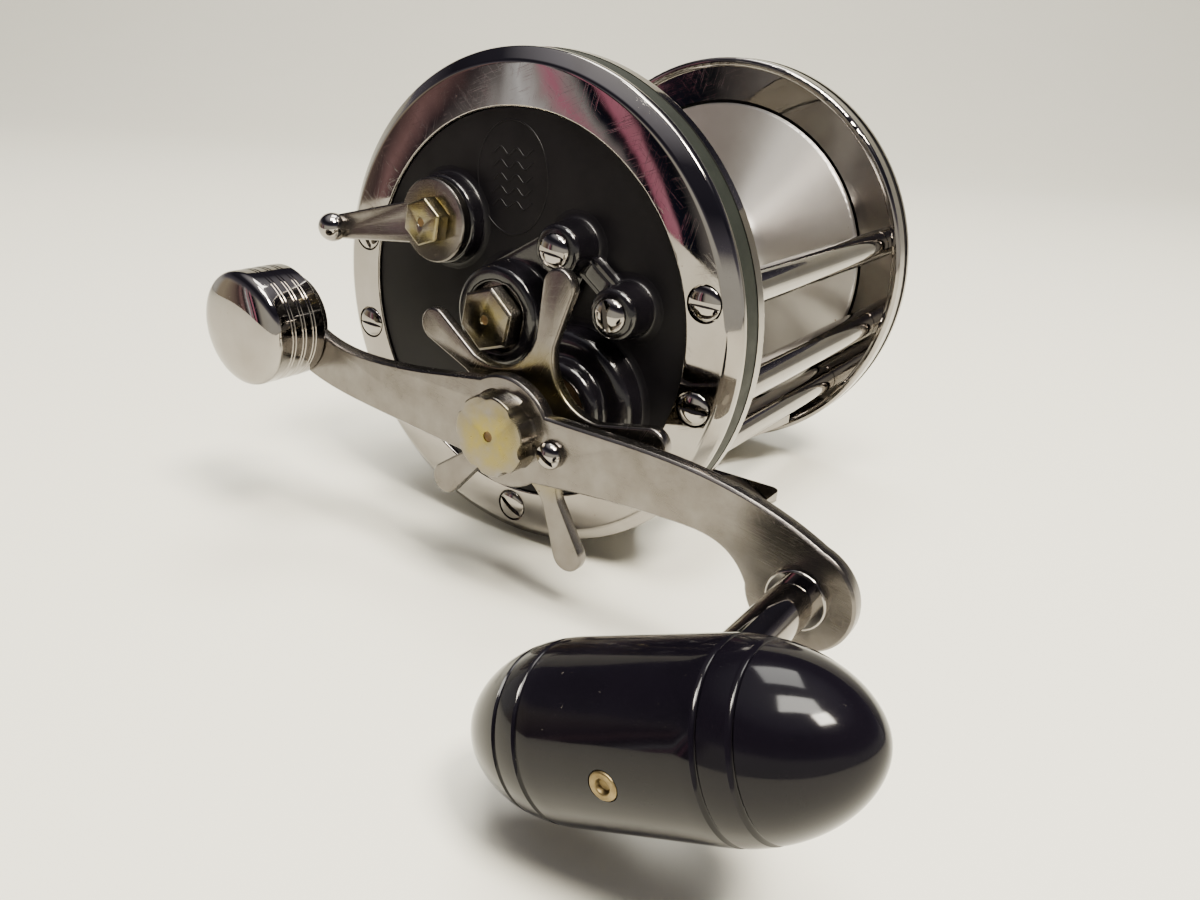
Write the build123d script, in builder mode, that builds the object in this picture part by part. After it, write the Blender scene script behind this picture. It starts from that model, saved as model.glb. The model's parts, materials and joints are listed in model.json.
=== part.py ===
"""Trolling reel with a star drag and a torpedo grip, as an assembly of separate pieces.

Frame, in millimetres: +X along the spool's axis towards the crank side, +Y forwards
(towards the rod's tip), +Z up. The origin is the centre of the rod foot's flat underside.
"""
from build123d import *
from math import acos, cos, degrees, pi, radians, sin, sqrt, tan
import os

os.makedirs("parts", exist_ok=True)

# ---------------------------------------------------------------- driving dimensions
ring_radius = 60.0
axis_height = 61.5          # spool axis above the foot's underside
half_gap = 45.0             # each inner ring's face from the middle of the reel
window_radius = 47.0        # the black plate shows inside this radius
bore_radius = 48.0          # the inner rings' bore, which the spool's flange turns in
fastener_radius = 52.1      # circle of the pillars and ring screws
pillar_angles = [12.5, -14.0, -38.0, 167.5, -166.0, -142.0]
stand_angle = -90.0
pillar_radius = 4.2
fit_gap = 0.05              # radial clearance of shafts, bores and screws
through = 20.0              # longer than any wall that a hole is cut through

# levels along X on the crank side
inner_ring_face = half_gap + 3.5
plate_rim_face = 52.8
plate_face = 57.2
outer_ring_face = 58.0
cavity_ceiling = 54.6
cavity_radius = 45.5
# levels along X on the tail side
tail_inner_face = -half_gap - 3.0
tail_rim_face = -50.5
tail_ceiling = -51.0
tail_plate_face = -53.7
tail_outer_face = -54.5

# gear train: the drive axis is below and in front of the spool's axis
pinion_teeth = 21
gear_teeth = 42
centre_distance = 26.4
drive_angle = -42.8
module = 2 * centre_distance / (pinion_teeth + gear_teeth)
backlash = 0.14
pressure_angle = radians(20)
drive_y = centre_distance * cos(radians(drive_angle))
drive_z = centre_distance * sin(radians(drive_angle))
yoke_travel = 2.0           # how far the pinion slides out of the spool's drive

# free-spool lever, bridge screws and crank
lever_y, lever_z = -21.7, 19.4
lever_reach = 34.9
lever_angle = 190.4
bridge_screw_places = [(16.65, 18.2), (32.3, 6.6)]
crank_back, crank_face = 82.8, 86.0
spindle_y, spindle_z = 71.6, -14.5
weight_y, weight_z = -69.6, 11.3
grip_middle = 136.0
grip_half_length = 35.6
grip_radius = 14.4
grip_tilt = 23.8
lock_screw_y, lock_screw_z = 13.4, -1.9

# ---------------------------------------------------------------- planes and axes
spool_axis = Axis((0, 0, axis_height), (1, 0, 0))
drive_axis = Axis((0, drive_y, axis_height + drive_z), (1, 0, 0))
lever_axis = Axis((0, lever_y, axis_height + lever_z), (1, 0, 0))


def axial(y=0.0, z=0.0):
    """Plane through an axis along X at (y, z) from the spool's axis: X across, radius up."""
    return Plane(origin=(0, y, axis_height + z), x_dir=(1, 0, 0), z_dir=(0, -1, 0))


def facing(x, y=0.0, z=0.0):
    """Plane that faces +X at this level, centred on an axis at (y, z) from the spool's axis."""
    return Plane(origin=(x, y, axis_height + z), x_dir=(0, 1, 0), z_dir=(1, 0, 0))


def on_drive(x):
    return facing(x, drive_y, drive_z)


def on_lever(x):
    return facing(x, lever_y, lever_z)


def around(radius, angle):
    """A point on a circle, as (y, z) from the circle's axis."""
    return (radius * cos(radians(angle)), radius * sin(radians(angle)))


def turned(points, plane, rounds=()):
    """A closed outline of (x, radius) points, with some corners rounded, to revolve."""
    with BuildSketch(plane) as outline:
        with BuildLine():
            Polyline(*points, close=True)
        make_face()
        for corner, radius in rounds:
            fillet(outline.vertices().sort_by_distance((*corner, 0))[0], radius)
    return outline.sketch


def tube(low, high, inner, outer):
    """The four corners of a plain ring's outline."""
    return [(low, inner), (high, inner), (high, outer), (low, outer)]


def save(piece, name):
    piece.part.label = name
    export_step(piece.part, f"parts/{name}.step")


# ---------------------------------------------------------------- rings and side plates
fastener_places = [around(fastener_radius, a) for a in pillar_angles + [stand_angle]]
screw_radius = 1.9
countersink_radius = 4.3
countersink_depth = 1.9

with BuildPart() as handle_ring_outer:
    revolve(
        turned(
            [(plate_rim_face, window_radius), (outer_ring_face, window_radius),
             (outer_ring_face, 56.8), (55.4, ring_radius), (plate_rim_face, ring_radius)],
            axial(),
            [((outer_ring_face, window_radius), 0.5), ((outer_ring_face, 56.8), 2.0),
             ((55.4, ring_radius), 1.2)],
        ),
        axis=spool_axis,
    )
    with BuildSketch(facing(outer_ring_face)):
        with Locations(*fastener_places):
            Circle(countersink_radius)
    extrude(amount=-countersink_depth, mode=Mode.SUBTRACT)
    with BuildSketch(facing(outer_ring_face)):
        with Locations(*fastener_places):
            Circle(screw_radius + fit_gap)
    extrude(amount=-8, mode=Mode.SUBTRACT)
save(handle_ring_outer, "handle_ring_outer")

with BuildPart() as handle_ring_inner:
    revolve(
        turned(tube(half_gap, inner_ring_face, bore_radius, ring_radius), axial(),
               [((half_gap, ring_radius), 0.8)]),
        axis=spool_axis,
    )
    with BuildSketch(facing(half_gap)):
        with Locations(*fastener_places):
            Circle(screw_radius + fit_gap)
    extrude(amount=5, mode=Mode.SUBTRACT)
save(handle_ring_inner, "handle_ring_inner")

rim_bead = 1.6
with BuildPart() as tail_ring_inner:
    revolve(
        turned(
            [(tail_inner_face, bore_radius), (-half_gap, bore_radius), (-half_gap, 57.4),
             (-half_gap + rim_bead, 57.4), (-half_gap + rim_bead, ring_radius),
             (tail_inner_face, ring_radius)],
            axial(),
            [((-half_gap + rim_bead, 57.4), 1.1), ((-half_gap + rim_bead, ring_radius), 1.1)],
        ),
        axis=spool_axis,
    )
    with BuildSketch(facing(-half_gap)):
        with Locations(*fastener_places):
            Circle(screw_radius + fit_gap)
    extrude(amount=-5, mode=Mode.SUBTRACT)
save(tail_ring_inner, "tail_ring_inner")

with BuildPart() as tail_ring_outer:
    revolve(
        turned(
            [(tail_rim_face, window_radius), (tail_outer_face, window_radius),
             (tail_outer_face, 56.8), (-52.2, ring_radius), (tail_rim_face, ring_radius)],
            axial(),
            [((tail_outer_face, window_radius), 0.5), ((tail_outer_face, 56.8), 2.0),
             ((-52.2, ring_radius), 1.0)],
        ),
        axis=spool_axis,
    )
    with BuildSketch(facing(tail_outer_face)):
        with Locations(*fastener_places):
            Circle(countersink_radius)
    extrude(amount=countersink_depth, mode=Mode.SUBTRACT)
    with BuildSketch(facing(tail_outer_face)):
        with Locations(*fastener_places):
            Circle(screw_radius + fit_gap)
    extrude(amount=8, mode=Mode.SUBTRACT)
save(tail_ring_outer, "tail_ring_outer")

# the crank side plate: a moulded black cup with raised housings over the works
plate_rim_radius = 59.6
boss_radius, boss_face = 12.05, 66.0
cap_thread_radius = 8.5
housing_radius, housing_face = 17.6, 63.6
collar_radius, collar_face = 11.2, 67.6
housing_bore, drag_room_depth = 15.2, 12.6
pinion_room_radius, pinion_room_depth = 10.1, 9.9
bushing_radius = 8.4
lever_boss_radius, lever_boss_face = 10.6, 61.6
screw_boss_radius, screw_boss_face = 5.8, 65.7
lever_shaft_radius = 3.0
bridge_screw_radius = 2.0

with BuildPart() as handle_side_plate:
    revolve(
        turned(
            [(inner_ring_face, 0), (plate_face, 0), (plate_face, window_radius - 0.1),
             (plate_rim_face, window_radius - 0.1), (plate_rim_face, plate_rim_radius),
             (inner_ring_face, plate_rim_radius)],
            axial(),
        ),
        axis=spool_axis,
    )
    # centre boss round the bearing cap
    revolve(turned([(plate_face - 1, 0), (boss_face, 0), (boss_face, boss_radius),
                    (plate_face - 1, boss_radius + 1.2)], axial(),
                   [((boss_face, boss_radius), 1.4)]), axis=spool_axis)
    # stepped drag housing on the drive axis
    revolve(turned([(plate_face - 1, 0), (housing_face, 0), (housing_face, housing_radius),
                    (plate_face - 1, housing_radius + 0.8)], axial(drive_y, drive_z),
                   [((housing_face, housing_radius), 2.6)]), axis=drive_axis)
    revolve(turned([(plate_face, 0), (collar_face, 0), (collar_face, collar_radius),
                    (plate_face, collar_radius)], axial(drive_y, drive_z),
                   [((collar_face, collar_radius), 2.2)]), axis=drive_axis)
    # round seat under the free-spool lever
    revolve(turned([(plate_face - 1, 0), (lever_boss_face, 0), (lever_boss_face, lever_boss_radius),
                    (plate_face - 1, lever_boss_radius + 0.6)], axial(lever_y, lever_z),
                   [((lever_boss_face, lever_boss_radius), 0.8)]), axis=lever_axis)
    # two screw bosses, the bar between them, and the web to the centre boss
    for y, z in bridge_screw_places:
        revolve(turned([(plate_face - 1, 0), (screw_boss_face, 0),
                        (screw_boss_face, screw_boss_radius),
                        (plate_face - 1, screw_boss_radius + 0.8)], axial(y, z),
                       [((screw_boss_face, screw_boss_radius), 1.5)]),
                axis=Axis((0, y, axis_height + z), (1, 0, 0)))
    with BuildSketch(facing(plate_face - 1)):
        with BuildLine():
            Line(*bridge_screw_places)
        trace(line_width=5.4)
    extrude(amount=3.8)
    with BuildSketch(facing(plate_face - 1)) as web:
        Circle(boss_radius + 0.8)
        with Locations(bridge_screw_places[0]):
            Circle(screw_boss_radius)
        make_hull()
    extrude(amount=3.2)
    # the hollow for the works, open towards the spool
    with BuildSketch(facing(inner_ring_face)):
        Circle(cavity_radius)
    extrude(amount=cavity_ceiling - inner_ring_face, mode=Mode.SUBTRACT)
    with BuildSketch(facing(inner_ring_face)):
        Circle(pinion_room_radius)
    extrude(amount=pinion_room_depth, mode=Mode.SUBTRACT)
    with BuildSketch(facing(inner_ring_face)):
        Circle(cap_thread_radius + fit_gap)
    extrude(amount=through, mode=Mode.SUBTRACT)
    with BuildSketch(on_drive(inner_ring_face)):
        Circle(housing_bore)
    extrude(amount=drag_room_depth, mode=Mode.SUBTRACT)
    with BuildSketch(on_drive(inner_ring_face)):
        Circle(bushing_radius + fit_gap)
    extrude(amount=through, mode=Mode.SUBTRACT)
    with BuildSketch(on_lever(inner_ring_face)):
        Circle(lever_shaft_radius + fit_gap)
    extrude(amount=through, mode=Mode.SUBTRACT)
    with BuildSketch(facing(inner_ring_face)):
        with Locations(*bridge_screw_places):
            Circle(bridge_screw_radius + fit_gap)
    extrude(amount=through, mode=Mode.SUBTRACT)
    with BuildSketch(facing(inner_ring_face)):
        with Locations(*fastener_places):
            Circle(screw_radius + fit_gap)
    extrude(amount=5, mode=Mode.SUBTRACT)
save(handle_side_plate, "handle_side_plate")

# the tail plate, with the click's slot
tail_boss_face = -60.5
click_rest = 26.0
click_travel = 4.0
stem_radius = 1.9
with BuildPart() as tail_side_plate:
    revolve(
        turned(
            [(tail_inner_face, 0), (tail_plate_face, 0), (tail_plate_face, window_radius - 0.1),
             (tail_rim_face, window_radius - 0.1), (tail_rim_face, plate_rim_radius),
             (tail_inner_face, plate_rim_radius)],
            axial(),
        ),
        axis=spool_axis,
    )
    revolve(turned([(tail_plate_face + 1, 0), (tail_boss_face, 0), (tail_boss_face, boss_radius),
                    (tail_plate_face + 1, boss_radius + 1.2)], axial(),
                   [((tail_boss_face, boss_radius), 1.4)]), axis=spool_axis)
    with BuildSketch(facing(tail_inner_face)):
        Circle(cavity_radius)
    extrude(amount=tail_ceiling - tail_inner_face, mode=Mode.SUBTRACT)
    with BuildSketch(facing(tail_inner_face)):
        Circle(cap_thread_radius + fit_gap)
    extrude(amount=-through, mode=Mode.SUBTRACT)
    with BuildSketch(facing(tail_inner_face)):
        with Locations((0, click_rest - click_travel / 2)):
            SlotCenterToCenter(click_travel, 2 * stem_radius + 0.8, rotation=90)
    extrude(amount=-8, mode=Mode.SUBTRACT)
    with BuildSketch(facing(tail_inner_face)):
        with Locations(*fastener_places):
            Circle(screw_radius + fit_gap)
    extrude(amount=-5, mode=Mode.SUBTRACT)
save(tail_side_plate, "tail_side_plate")

# ---------------------------------------------------------------- pillars, stand and foot
with BuildPart() as pillars:
    with BuildSketch(facing(-half_gap)):
        with Locations(*fastener_places[:-1]):
            Circle(pillar_radius)
    extrude(amount=2 * half_gap)
    chamfer(pillars.edges().filter_by(GeomType.CIRCLE), 0.3)
    with BuildSketch(facing(-half_gap)):
        with Locations(*fastener_places[:-1]):
            Circle(screw_radius + fit_gap)
    extrude(amount=12, mode=Mode.SUBTRACT)
    with BuildSketch(facing(half_gap)):
        with Locations(*fastener_places[:-1]):
            Circle(screw_radius + fit_gap)
    extrude(amount=-12, mode=Mode.SUBTRACT)
save(pillars, "pillars")

saddle_outer, saddle_thickness = 58.5, 2.2
saddle_half_angle = 40.0
saddle_reach = saddle_outer * sin(radians(saddle_half_angle))
saddle_waist = 16.0
lug_half_width, lug_length = 6.0, 13.0
rivet_radius = 1.6
rivet_places = [(x, y) for x in (-9, 9) for y in (-11, 11)]
with BuildPart() as stand_saddle:
    with BuildSketch(facing(-half_gap + rim_bead + 0.2)):
        Circle(saddle_outer)
        Circle(saddle_outer - saddle_thickness, mode=Mode.SUBTRACT)
        with Locations((0, -saddle_outer)):
            Rectangle(2 * saddle_reach, 2 * saddle_outer * (1 - cos(radians(saddle_half_angle))),
                      mode=Mode.INTERSECT)
    extrude(amount=2 * half_gap - rim_bead - 0.2)
    # the sheet is widest at the rings and curves in to the foot's width
    for side in (-1, 1):
        with BuildSketch(Plane.XY):
            with BuildLine():
                ThreePointArc((-half_gap - 3, side * saddle_reach), (0, side * saddle_waist),
                              (half_gap + 3, side * saddle_reach))
                Polyline((half_gap + 3, side * saddle_reach), (half_gap + 3, side * 60),
                         (-half_gap - 3, side * 60), (-half_gap - 3, side * saddle_reach))
            make_face()
        extrude(amount=30, mode=Mode.SUBTRACT)
    # lugs that the stand screws hold
    for level, reach in ((-half_gap, lug_length), (half_gap, -lug_length)):
        with BuildSketch(facing(level)):
            with Locations((0, -(fastener_radius + 1))):
                Rectangle(2 * lug_half_width, 8)
        extrude(amount=reach)
    for level, reach in ((-half_gap, 12), (half_gap, -12)):
        with BuildSketch(facing(level)):
            with Locations(fastener_places[-1]):
                Circle(screw_radius + fit_gap)
        extrude(amount=reach, mode=Mode.SUBTRACT)
    with BuildSketch(Plane.XY):
        with Locations(*rivet_places):
            Circle(rivet_radius + fit_gap)
    extrude(amount=9, mode=Mode.SUBTRACT)
save(stand_saddle, "stand_saddle")

foot_length, foot_width, foot_height = 90.0, 28.0, 3.0
pedestal_length = 34.0
hollow_radius = 40.0
hollow_depth = 1.7
with BuildPart() as rod_foot:
    with BuildSketch(Plane.XY):
        RectangleRounded(foot_width, foot_length, 3)
    extrude(amount=foot_height)
    with BuildSketch(Plane.XY.offset(foot_height)):
        Rectangle(foot_width, pedestal_length)
    extrude(amount=4)
    # the seat that the saddle lies in
    with BuildSketch(facing(-half_gap)):
        Circle(saddle_outer + fit_gap)
        with Locations((0, -saddle_outer / 2)):
            Rectangle(60, saddle_outer, mode=Mode.INTERSECT)
    extrude(amount=2 * half_gap, mode=Mode.SUBTRACT)
    # hollow underside of both tongues, so that they seat on a round rod
    for end in (-1, 1):
        with BuildSketch(Plane(origin=(0, end * pedestal_length / 2, 0), x_dir=(end, 0, 0),
                               z_dir=(0, end, 0))):
            with Locations((0, hollow_radius - hollow_depth)):
                Circle(hollow_radius)
        extrude(amount=foot_length, mode=Mode.SUBTRACT)
    with BuildSketch(Plane.XY):
        with Locations(*rivet_places):
            Circle(rivet_radius + fit_gap)
    extrude(amount=10, mode=Mode.SUBTRACT)
save(rod_foot, "rod_foot")

with BuildPart() as foot_rivets:
    for x, y in rivet_places:
        seat = axis_height - sqrt((saddle_outer - saddle_thickness) ** 2 - (abs(y) + rivet_radius + 1) ** 2)
        with BuildSketch(Plane(origin=(x, y, 0.3))):
            Circle(rivet_radius)
        extrude(amount=seat + 0.4)
        with BuildSketch(Plane(origin=(x, y, seat + 0.1))):
            Circle(rivet_radius + 1)
        extrude(amount=0.9, taper=30)
save(foot_rivets, "foot_rivets")

# ---------------------------------------------------------------- ring screws
slot_width, slot_depth = 0.9, 0.7


def ring_screws(face, inwards):
    """Seven slotted screws that sink into the ring's countersinks; inwards is their direction."""
    with BuildPart() as screws:
        head = face + inwards * countersink_depth
        for (y, z), angle in zip(fastener_places, range(20, 160, 20)):
            revolve(
                turned([(head, 0), (head, 3.9), (face + inwards * 0.55, 3.9),
                        (face + inwards * 0.1, 3.1), (face - inwards * 0.1, 1.6),
                        (face - inwards * 0.15, 0)], axial(y, z)),
                axis=Axis((0, y, axis_height + z), (1, 0, 0)))
            with BuildSketch(facing(head, y, z)):
                Circle(screw_radius)
            extrude(amount=inwards * 17)
            with BuildSketch(facing(face + inwards * slot_depth, y, z)):
                Rectangle(9, slot_width, rotation=angle)
            extrude(amount=-inwards * 2, mode=Mode.SUBTRACT)
    return screws


handle_ring_screws = ring_screws(outer_ring_face, -1)
save(handle_ring_screws, "handle_ring_screws")
tail_ring_screws = ring_screws(tail_outer_face, 1)
save(tail_ring_screws, "tail_ring_screws")

# ---------------------------------------------------------------- bearing caps and bearings
journal_radius = 3.0
bearing_radius = 6.4
cap_flats = 14.0


def bearing_cap(outside, inside, bearing_low, bearing_high):
    """A hexagonal cap whose round skirt screws into the boss and holds the bearing."""
    with BuildPart() as cap:
        low, high = sorted((outside, inside))
        revolve(turned(tube(low, high, 0, cap_thread_radius), axial()), axis=spool_axis)
        lower, upper = sorted((outside, outside + (5.5 if inside > outside else -5.5)))
        with BuildSketch(facing(lower)):
            Circle(cap_thread_radius + 1)
            RegularPolygon(cap_flats / 2, 6, major_radius=False, rotation=18, mode=Mode.SUBTRACT)
        extrude(amount=upper - lower, mode=Mode.SUBTRACT)
        with BuildSketch(facing(bearing_low)):
            Circle(bearing_radius + fit_gap)
        extrude(amount=bearing_high - bearing_low, mode=Mode.SUBTRACT)
        with BuildSketch(facing(low)):
            Circle(1.1)
        extrude(amount=high - low, mode=Mode.SUBTRACT)
        chamfer(cap.faces().sort_by(Axis.X)[0 if inside > outside else -1].outer_wire().edges(), 0.6)
    return cap


handle_bearing_cap = bearing_cap(70.0, 59.2, 59.2, 64.2)
save(handle_bearing_cap, "handle_bearing_cap")
tail_bearing_cap = bearing_cap(-64.4, -53.4, -58.6, -53.4)
save(tail_bearing_cap, "tail_bearing_cap")

with BuildPart() as handle_bearing:
    revolve(turned(tube(59.4, 63.4, journal_radius + fit_gap, bearing_radius), axial()),
            axis=spool_axis)
save(handle_bearing, "handle_bearing")

with BuildPart() as tail_bearing:
    revolve(turned(tube(-57.6, -53.6, journal_radius + fit_gap, bearing_radius), axial()),
            axis=spool_axis)
save(tail_bearing, "tail_bearing")

sleeve_radius = 4.5
spacer_radius = 6.4
with BuildPart() as housing_bushing:
    revolve(turned(tube(61.4, 67.2, spacer_radius + fit_gap, bushing_radius),
                   axial(drive_y, drive_z)), axis=drive_axis)
save(housing_bushing, "housing_bushing")

# ---------------------------------------------------------------- bridge that carries the gears
bridge_low, bridge_high = 46.2, 47.8
column_radius = 3.4
dog_y, dog_z = 15.16, 8.75          # the dog's pivot from the drive axis
stud_radius = 1.5
post_radius = 2.8
pinion_collar_radius = 7.7
with BuildPart() as bridge:
    with BuildSketch(facing(bridge_low)):
        Circle(11.6)
        with Locations((drive_y, drive_z)):
            Circle(9)
        with Locations(*bridge_screw_places):
            Circle(4.6)
        with Locations((drive_y + dog_y, drive_z + dog_z)):
            Circle(4)
        make_hull()
    extrude(amount=bridge_high - bridge_low)
    with BuildSketch(facing(bridge_high)):
        with Locations(*bridge_screw_places):
            Circle(column_radius)
    extrude(amount=cavity_ceiling - bridge_high)
    with BuildSketch(on_drive(bridge_high)):
        Circle(post_radius)
    extrude(amount=18)
    with BuildSketch(facing(bridge_low)):
        Circle(pinion_collar_radius + 0.4)
        with Locations(*bridge_screw_places):
            Circle(bridge_screw_radius + fit_gap)
        with Locations((drive_y + dog_y, drive_z + dog_z)):
            Circle(stud_radius)
    extrude(amount=10, mode=Mode.SUBTRACT)
save(bridge, "bridge")

with BuildPart() as bridge_screws:
    for (y, z), angle in zip(bridge_screw_places, (145, 95)):
        revolve(turned([(screw_boss_face, 0), (screw_boss_face, 4.0), (screw_boss_face + 1.2, 4.0),
                        (screw_boss_face + 1.9, 3.0), (screw_boss_face + 2.3, 1.5),
                        (screw_boss_face + 2.4, 0)], axial(y, z)),
                axis=Axis((0, y, axis_height + z), (1, 0, 0)))
        with BuildSketch(facing(screw_boss_face, y, z)):
            Circle(bridge_screw_radius)
        extrude(amount=bridge_low + 0.7 - screw_boss_face)
        with BuildSketch(facing(screw_boss_face + 1.3, y, z)):
            Rectangle(9, 1.0, rotation=angle)
        extrude(amount=3, mode=Mode.SUBTRACT)
save(bridge_screws, "bridge_screws")

# ---------------------------------------------------------------- spool
flange_radius = 47.0
arbor_radius = 16.0
shaft_radius = 4.0
with BuildPart() as spool:
    revolve(
        turned(
            [(-45.4, 7), (-45.4, flange_radius), (-43.6, flange_radius), (-39.6, arbor_radius),
             (39.6, arbor_radius), (43.6, flange_radius), (45.4, flange_radius), (45.4, 7),
             (42.4, 7), (42.4, 9), (39, 13.4), (8, 13.4), (8, shaft_radius + 0.02),
             (-8, shaft_radius + 0.02), (-8, 13.4), (-39, 13.4), (-42.4, 9), (-42.4, 7)],
            axial(),
            [((-39.6, arbor_radius), 5), ((39.6, arbor_radius), 5),
             ((-43.6, flange_radius), 0.6), ((43.6, flange_radius), 0.6)],
        ),
        axis=spool_axis,
    )
save(spool, "spool")

drive_flat = 2.8
drive_end = 48.2
with BuildPart() as spool_shaft:
    revolve(
        turned([(-57.2, 0), (-57.2, journal_radius), (-48.2, journal_radius),
                (-48.2, shaft_radius), (drive_end, shaft_radius), (drive_end, journal_radius),
                (63.2, journal_radius), (63.2, 0)], axial()),
        axis=spool_axis,
    )
    # two flats that drive the pinion
    with BuildSketch(facing(46.0)):
        with Locations((0, drive_flat + 5), (0, -drive_flat - 5)):
            Rectangle(20, 10)
    extrude(amount=drive_end - 46.0, mode=Mode.SUBTRACT)
    # collars that the spool's end plates are pressed on
    for low, high in ((-45.4, -42.4), (42.4, 45.4)):
        revolve(turned(tube(low, high, shaft_radius - 0.5, 6.98), axial()), axis=spool_axis)
save(spool_shaft, "spool_shaft")

click_teeth = 12
click_middle, click_wave = 11.9, 1.1


def click_outline(steps=8):
    """Rounded teeth, with a valley straight above the axis at rest."""
    count = click_teeth * steps
    turns = [360 * i / count for i in range(count)]
    return [around(click_middle - click_wave * cos(radians(click_teeth * (a - 90))), a)
            for a in turns]


with BuildPart() as click_ratchet:
    with BuildSketch(facing(-48.0)):
        with BuildLine():
            Polyline(*click_outline(), close=True)
        make_face()
        Circle(shaft_radius + 0.02, mode=Mode.SUBTRACT)
    extrude(amount=2.0)
save(click_ratchet, "click_ratchet")

# ---------------------------------------------------------------- gears


def involute(angle):
    return tan(angle) - angle


def gear_outline(teeth, turn):
    """Involute spur teeth with one tooth's middle at this turn, in degrees."""
    pitch_radius = teeth * module / 2
    base_radius = pitch_radius * cos(pressure_angle)
    tip_radius = pitch_radius + 0.94 * module
    root_radius = pitch_radius - 1.25 * module
    half_tooth = (pi * module / 2 - backlash) / (2 * pitch_radius)
    start = max(base_radius, root_radius)
    flank = [(root_radius, half_tooth + involute(pressure_angle))]
    for i in range(6):
        radius = start + (tip_radius - start) * i / 5
        roll = acos(min(1.0, base_radius / radius))
        flank.append((radius, half_tooth + involute(pressure_angle) - involute(roll)))
    if root_radius > base_radius:
        flank = flank[1:]
    points = []
    for tooth in range(teeth):
        middle = turn + 360 * tooth / teeth
        points += [around(r, middle - degrees(a)) for r, a in flank]
        points += [around(r, middle + degrees(a)) for r, a in reversed(flank)]
    return points


def gear_blank(plane, teeth, turn):
    with BuildSketch(plane) as blank:
        with BuildLine():
            Polyline(*gear_outline(teeth, turn), close=True)
        make_face()
    return blank.sketch


gear_low, gear_high = 50.0, 54.2
cup_radius = 14.2
cup_floor = 51.4
with BuildPart() as main_gear:
    extrude(gear_blank(on_drive(gear_low), gear_teeth,
                       drive_angle + 180 + 180 / gear_teeth), amount=gear_high - gear_low)
    with BuildSketch(on_drive(cup_floor)):
        Circle(cup_radius)
    extrude(amount=5, mode=Mode.SUBTRACT)
    with BuildSketch(on_drive(gear_low)):
        Circle(sleeve_radius + fit_gap)
    extrude(amount=5, mode=Mode.SUBTRACT)
save(main_gear, "main_gear")

pocket_depth = 1.8
with BuildPart() as pinion:
    with BuildSketch(facing(46.6)):
        Circle(pinion_collar_radius)
    extrude(amount=1.6)
    with BuildSketch(facing(48.2)):
        Circle(6.4)
    extrude(amount=1.8)
    extrude(gear_blank(facing(50.0), pinion_teeth, drive_angle), amount=5.4)
    with BuildSketch(facing(46.6)):
        Circle(journal_radius + fit_gap)
    extrude(amount=10, mode=Mode.SUBTRACT)
    with BuildSketch(facing(46.6)):
        Circle(shaft_radius + 0.1)
        Rectangle(10, 2 * drive_flat + 0.2, mode=Mode.INTERSECT)
    extrude(amount=pocket_depth, mode=Mode.SUBTRACT)
save(pinion, "pinion")

# ---------------------------------------------------------------- drive sleeve and drag stack
with BuildPart() as drive_sleeve:
    revolve(turned([(47.95, post_radius + fit_gap), (47.95, sleeve_radius), (89.6, sleeve_radius),
                    (89.6, 1.2), (67, 1.2), (67, post_radius + fit_gap)],
                   axial(drive_y, drive_z)), axis=drive_axis)
save(drive_sleeve, "drive_sleeve")

dog_teeth = 12
ratchet_root, ratchet_tip = 8.3, 10.0
ratchet_turn = -17.3


def ratchet_outline(steps=6):
    """Saw teeth: each rises slowly with the angle, then drops straight in to the next root."""
    points = []
    for tooth in range(dog_teeth):
        for i in range(steps + 1):
            share = i / steps
            angle = ratchet_turn + (tooth + 0.998 * share) * 360 / dog_teeth
            points.append(around(ratchet_root + (ratchet_tip - ratchet_root) * share, angle))
    return points


with BuildPart() as anti_reverse_ratchet:
    with BuildSketch(on_drive(48.05)):
        with BuildLine():
            Polyline(*ratchet_outline(), close=True)
        make_face()
        Circle(sleeve_radius + fit_gap, mode=Mode.SUBTRACT)
    extrude(amount=1.7)
save(anti_reverse_ratchet, "anti_reverse_ratchet")


def washers(levels, inner, outer):
    """Flat washers on the drive sleeve, one for each (low, high) pair of levels."""
    with BuildPart() as stack:
        for low, high in levels:
            revolve(turned(tube(low, high, inner, outer), axial(drive_y, drive_z)),
                    axis=drive_axis)
    return stack


washer_inner, washer_outer = sleeve_radius + fit_gap, 13.6
fibre_drag_washers = washers([(51.4, 52.4), (53.2, 54.2), (55.0, 56.0)], washer_inner, washer_outer)
save(fibre_drag_washers, "fibre_drag_washers")
metal_drag_washers = washers([(52.4, 53.2), (54.2, 55.0)], washer_inner, washer_outer)
save(metal_drag_washers, "metal_drag_washers")
drag_pressure_plate = washers([(56.0, 57.6)], washer_inner, washer_outer)
save(drag_pressure_plate, "drag_pressure_plate")

with BuildPart() as drag_spring_washer:
    revolve(turned([(57.6, 9.4), (58.3, 9.4), (59.3, 4.8), (58.6, 4.8)],
                   axial(drive_y, drive_z)), axis=drive_axis)
save(drag_spring_washer, "drag_spring_washer")

with BuildPart() as spacer_sleeve:
    revolve(turned(tube(59.3, 74.8, washer_inner, spacer_radius), axial(drive_y, drive_z)),
            axis=drive_axis)
save(spacer_sleeve, "spacer_sleeve")

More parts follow.
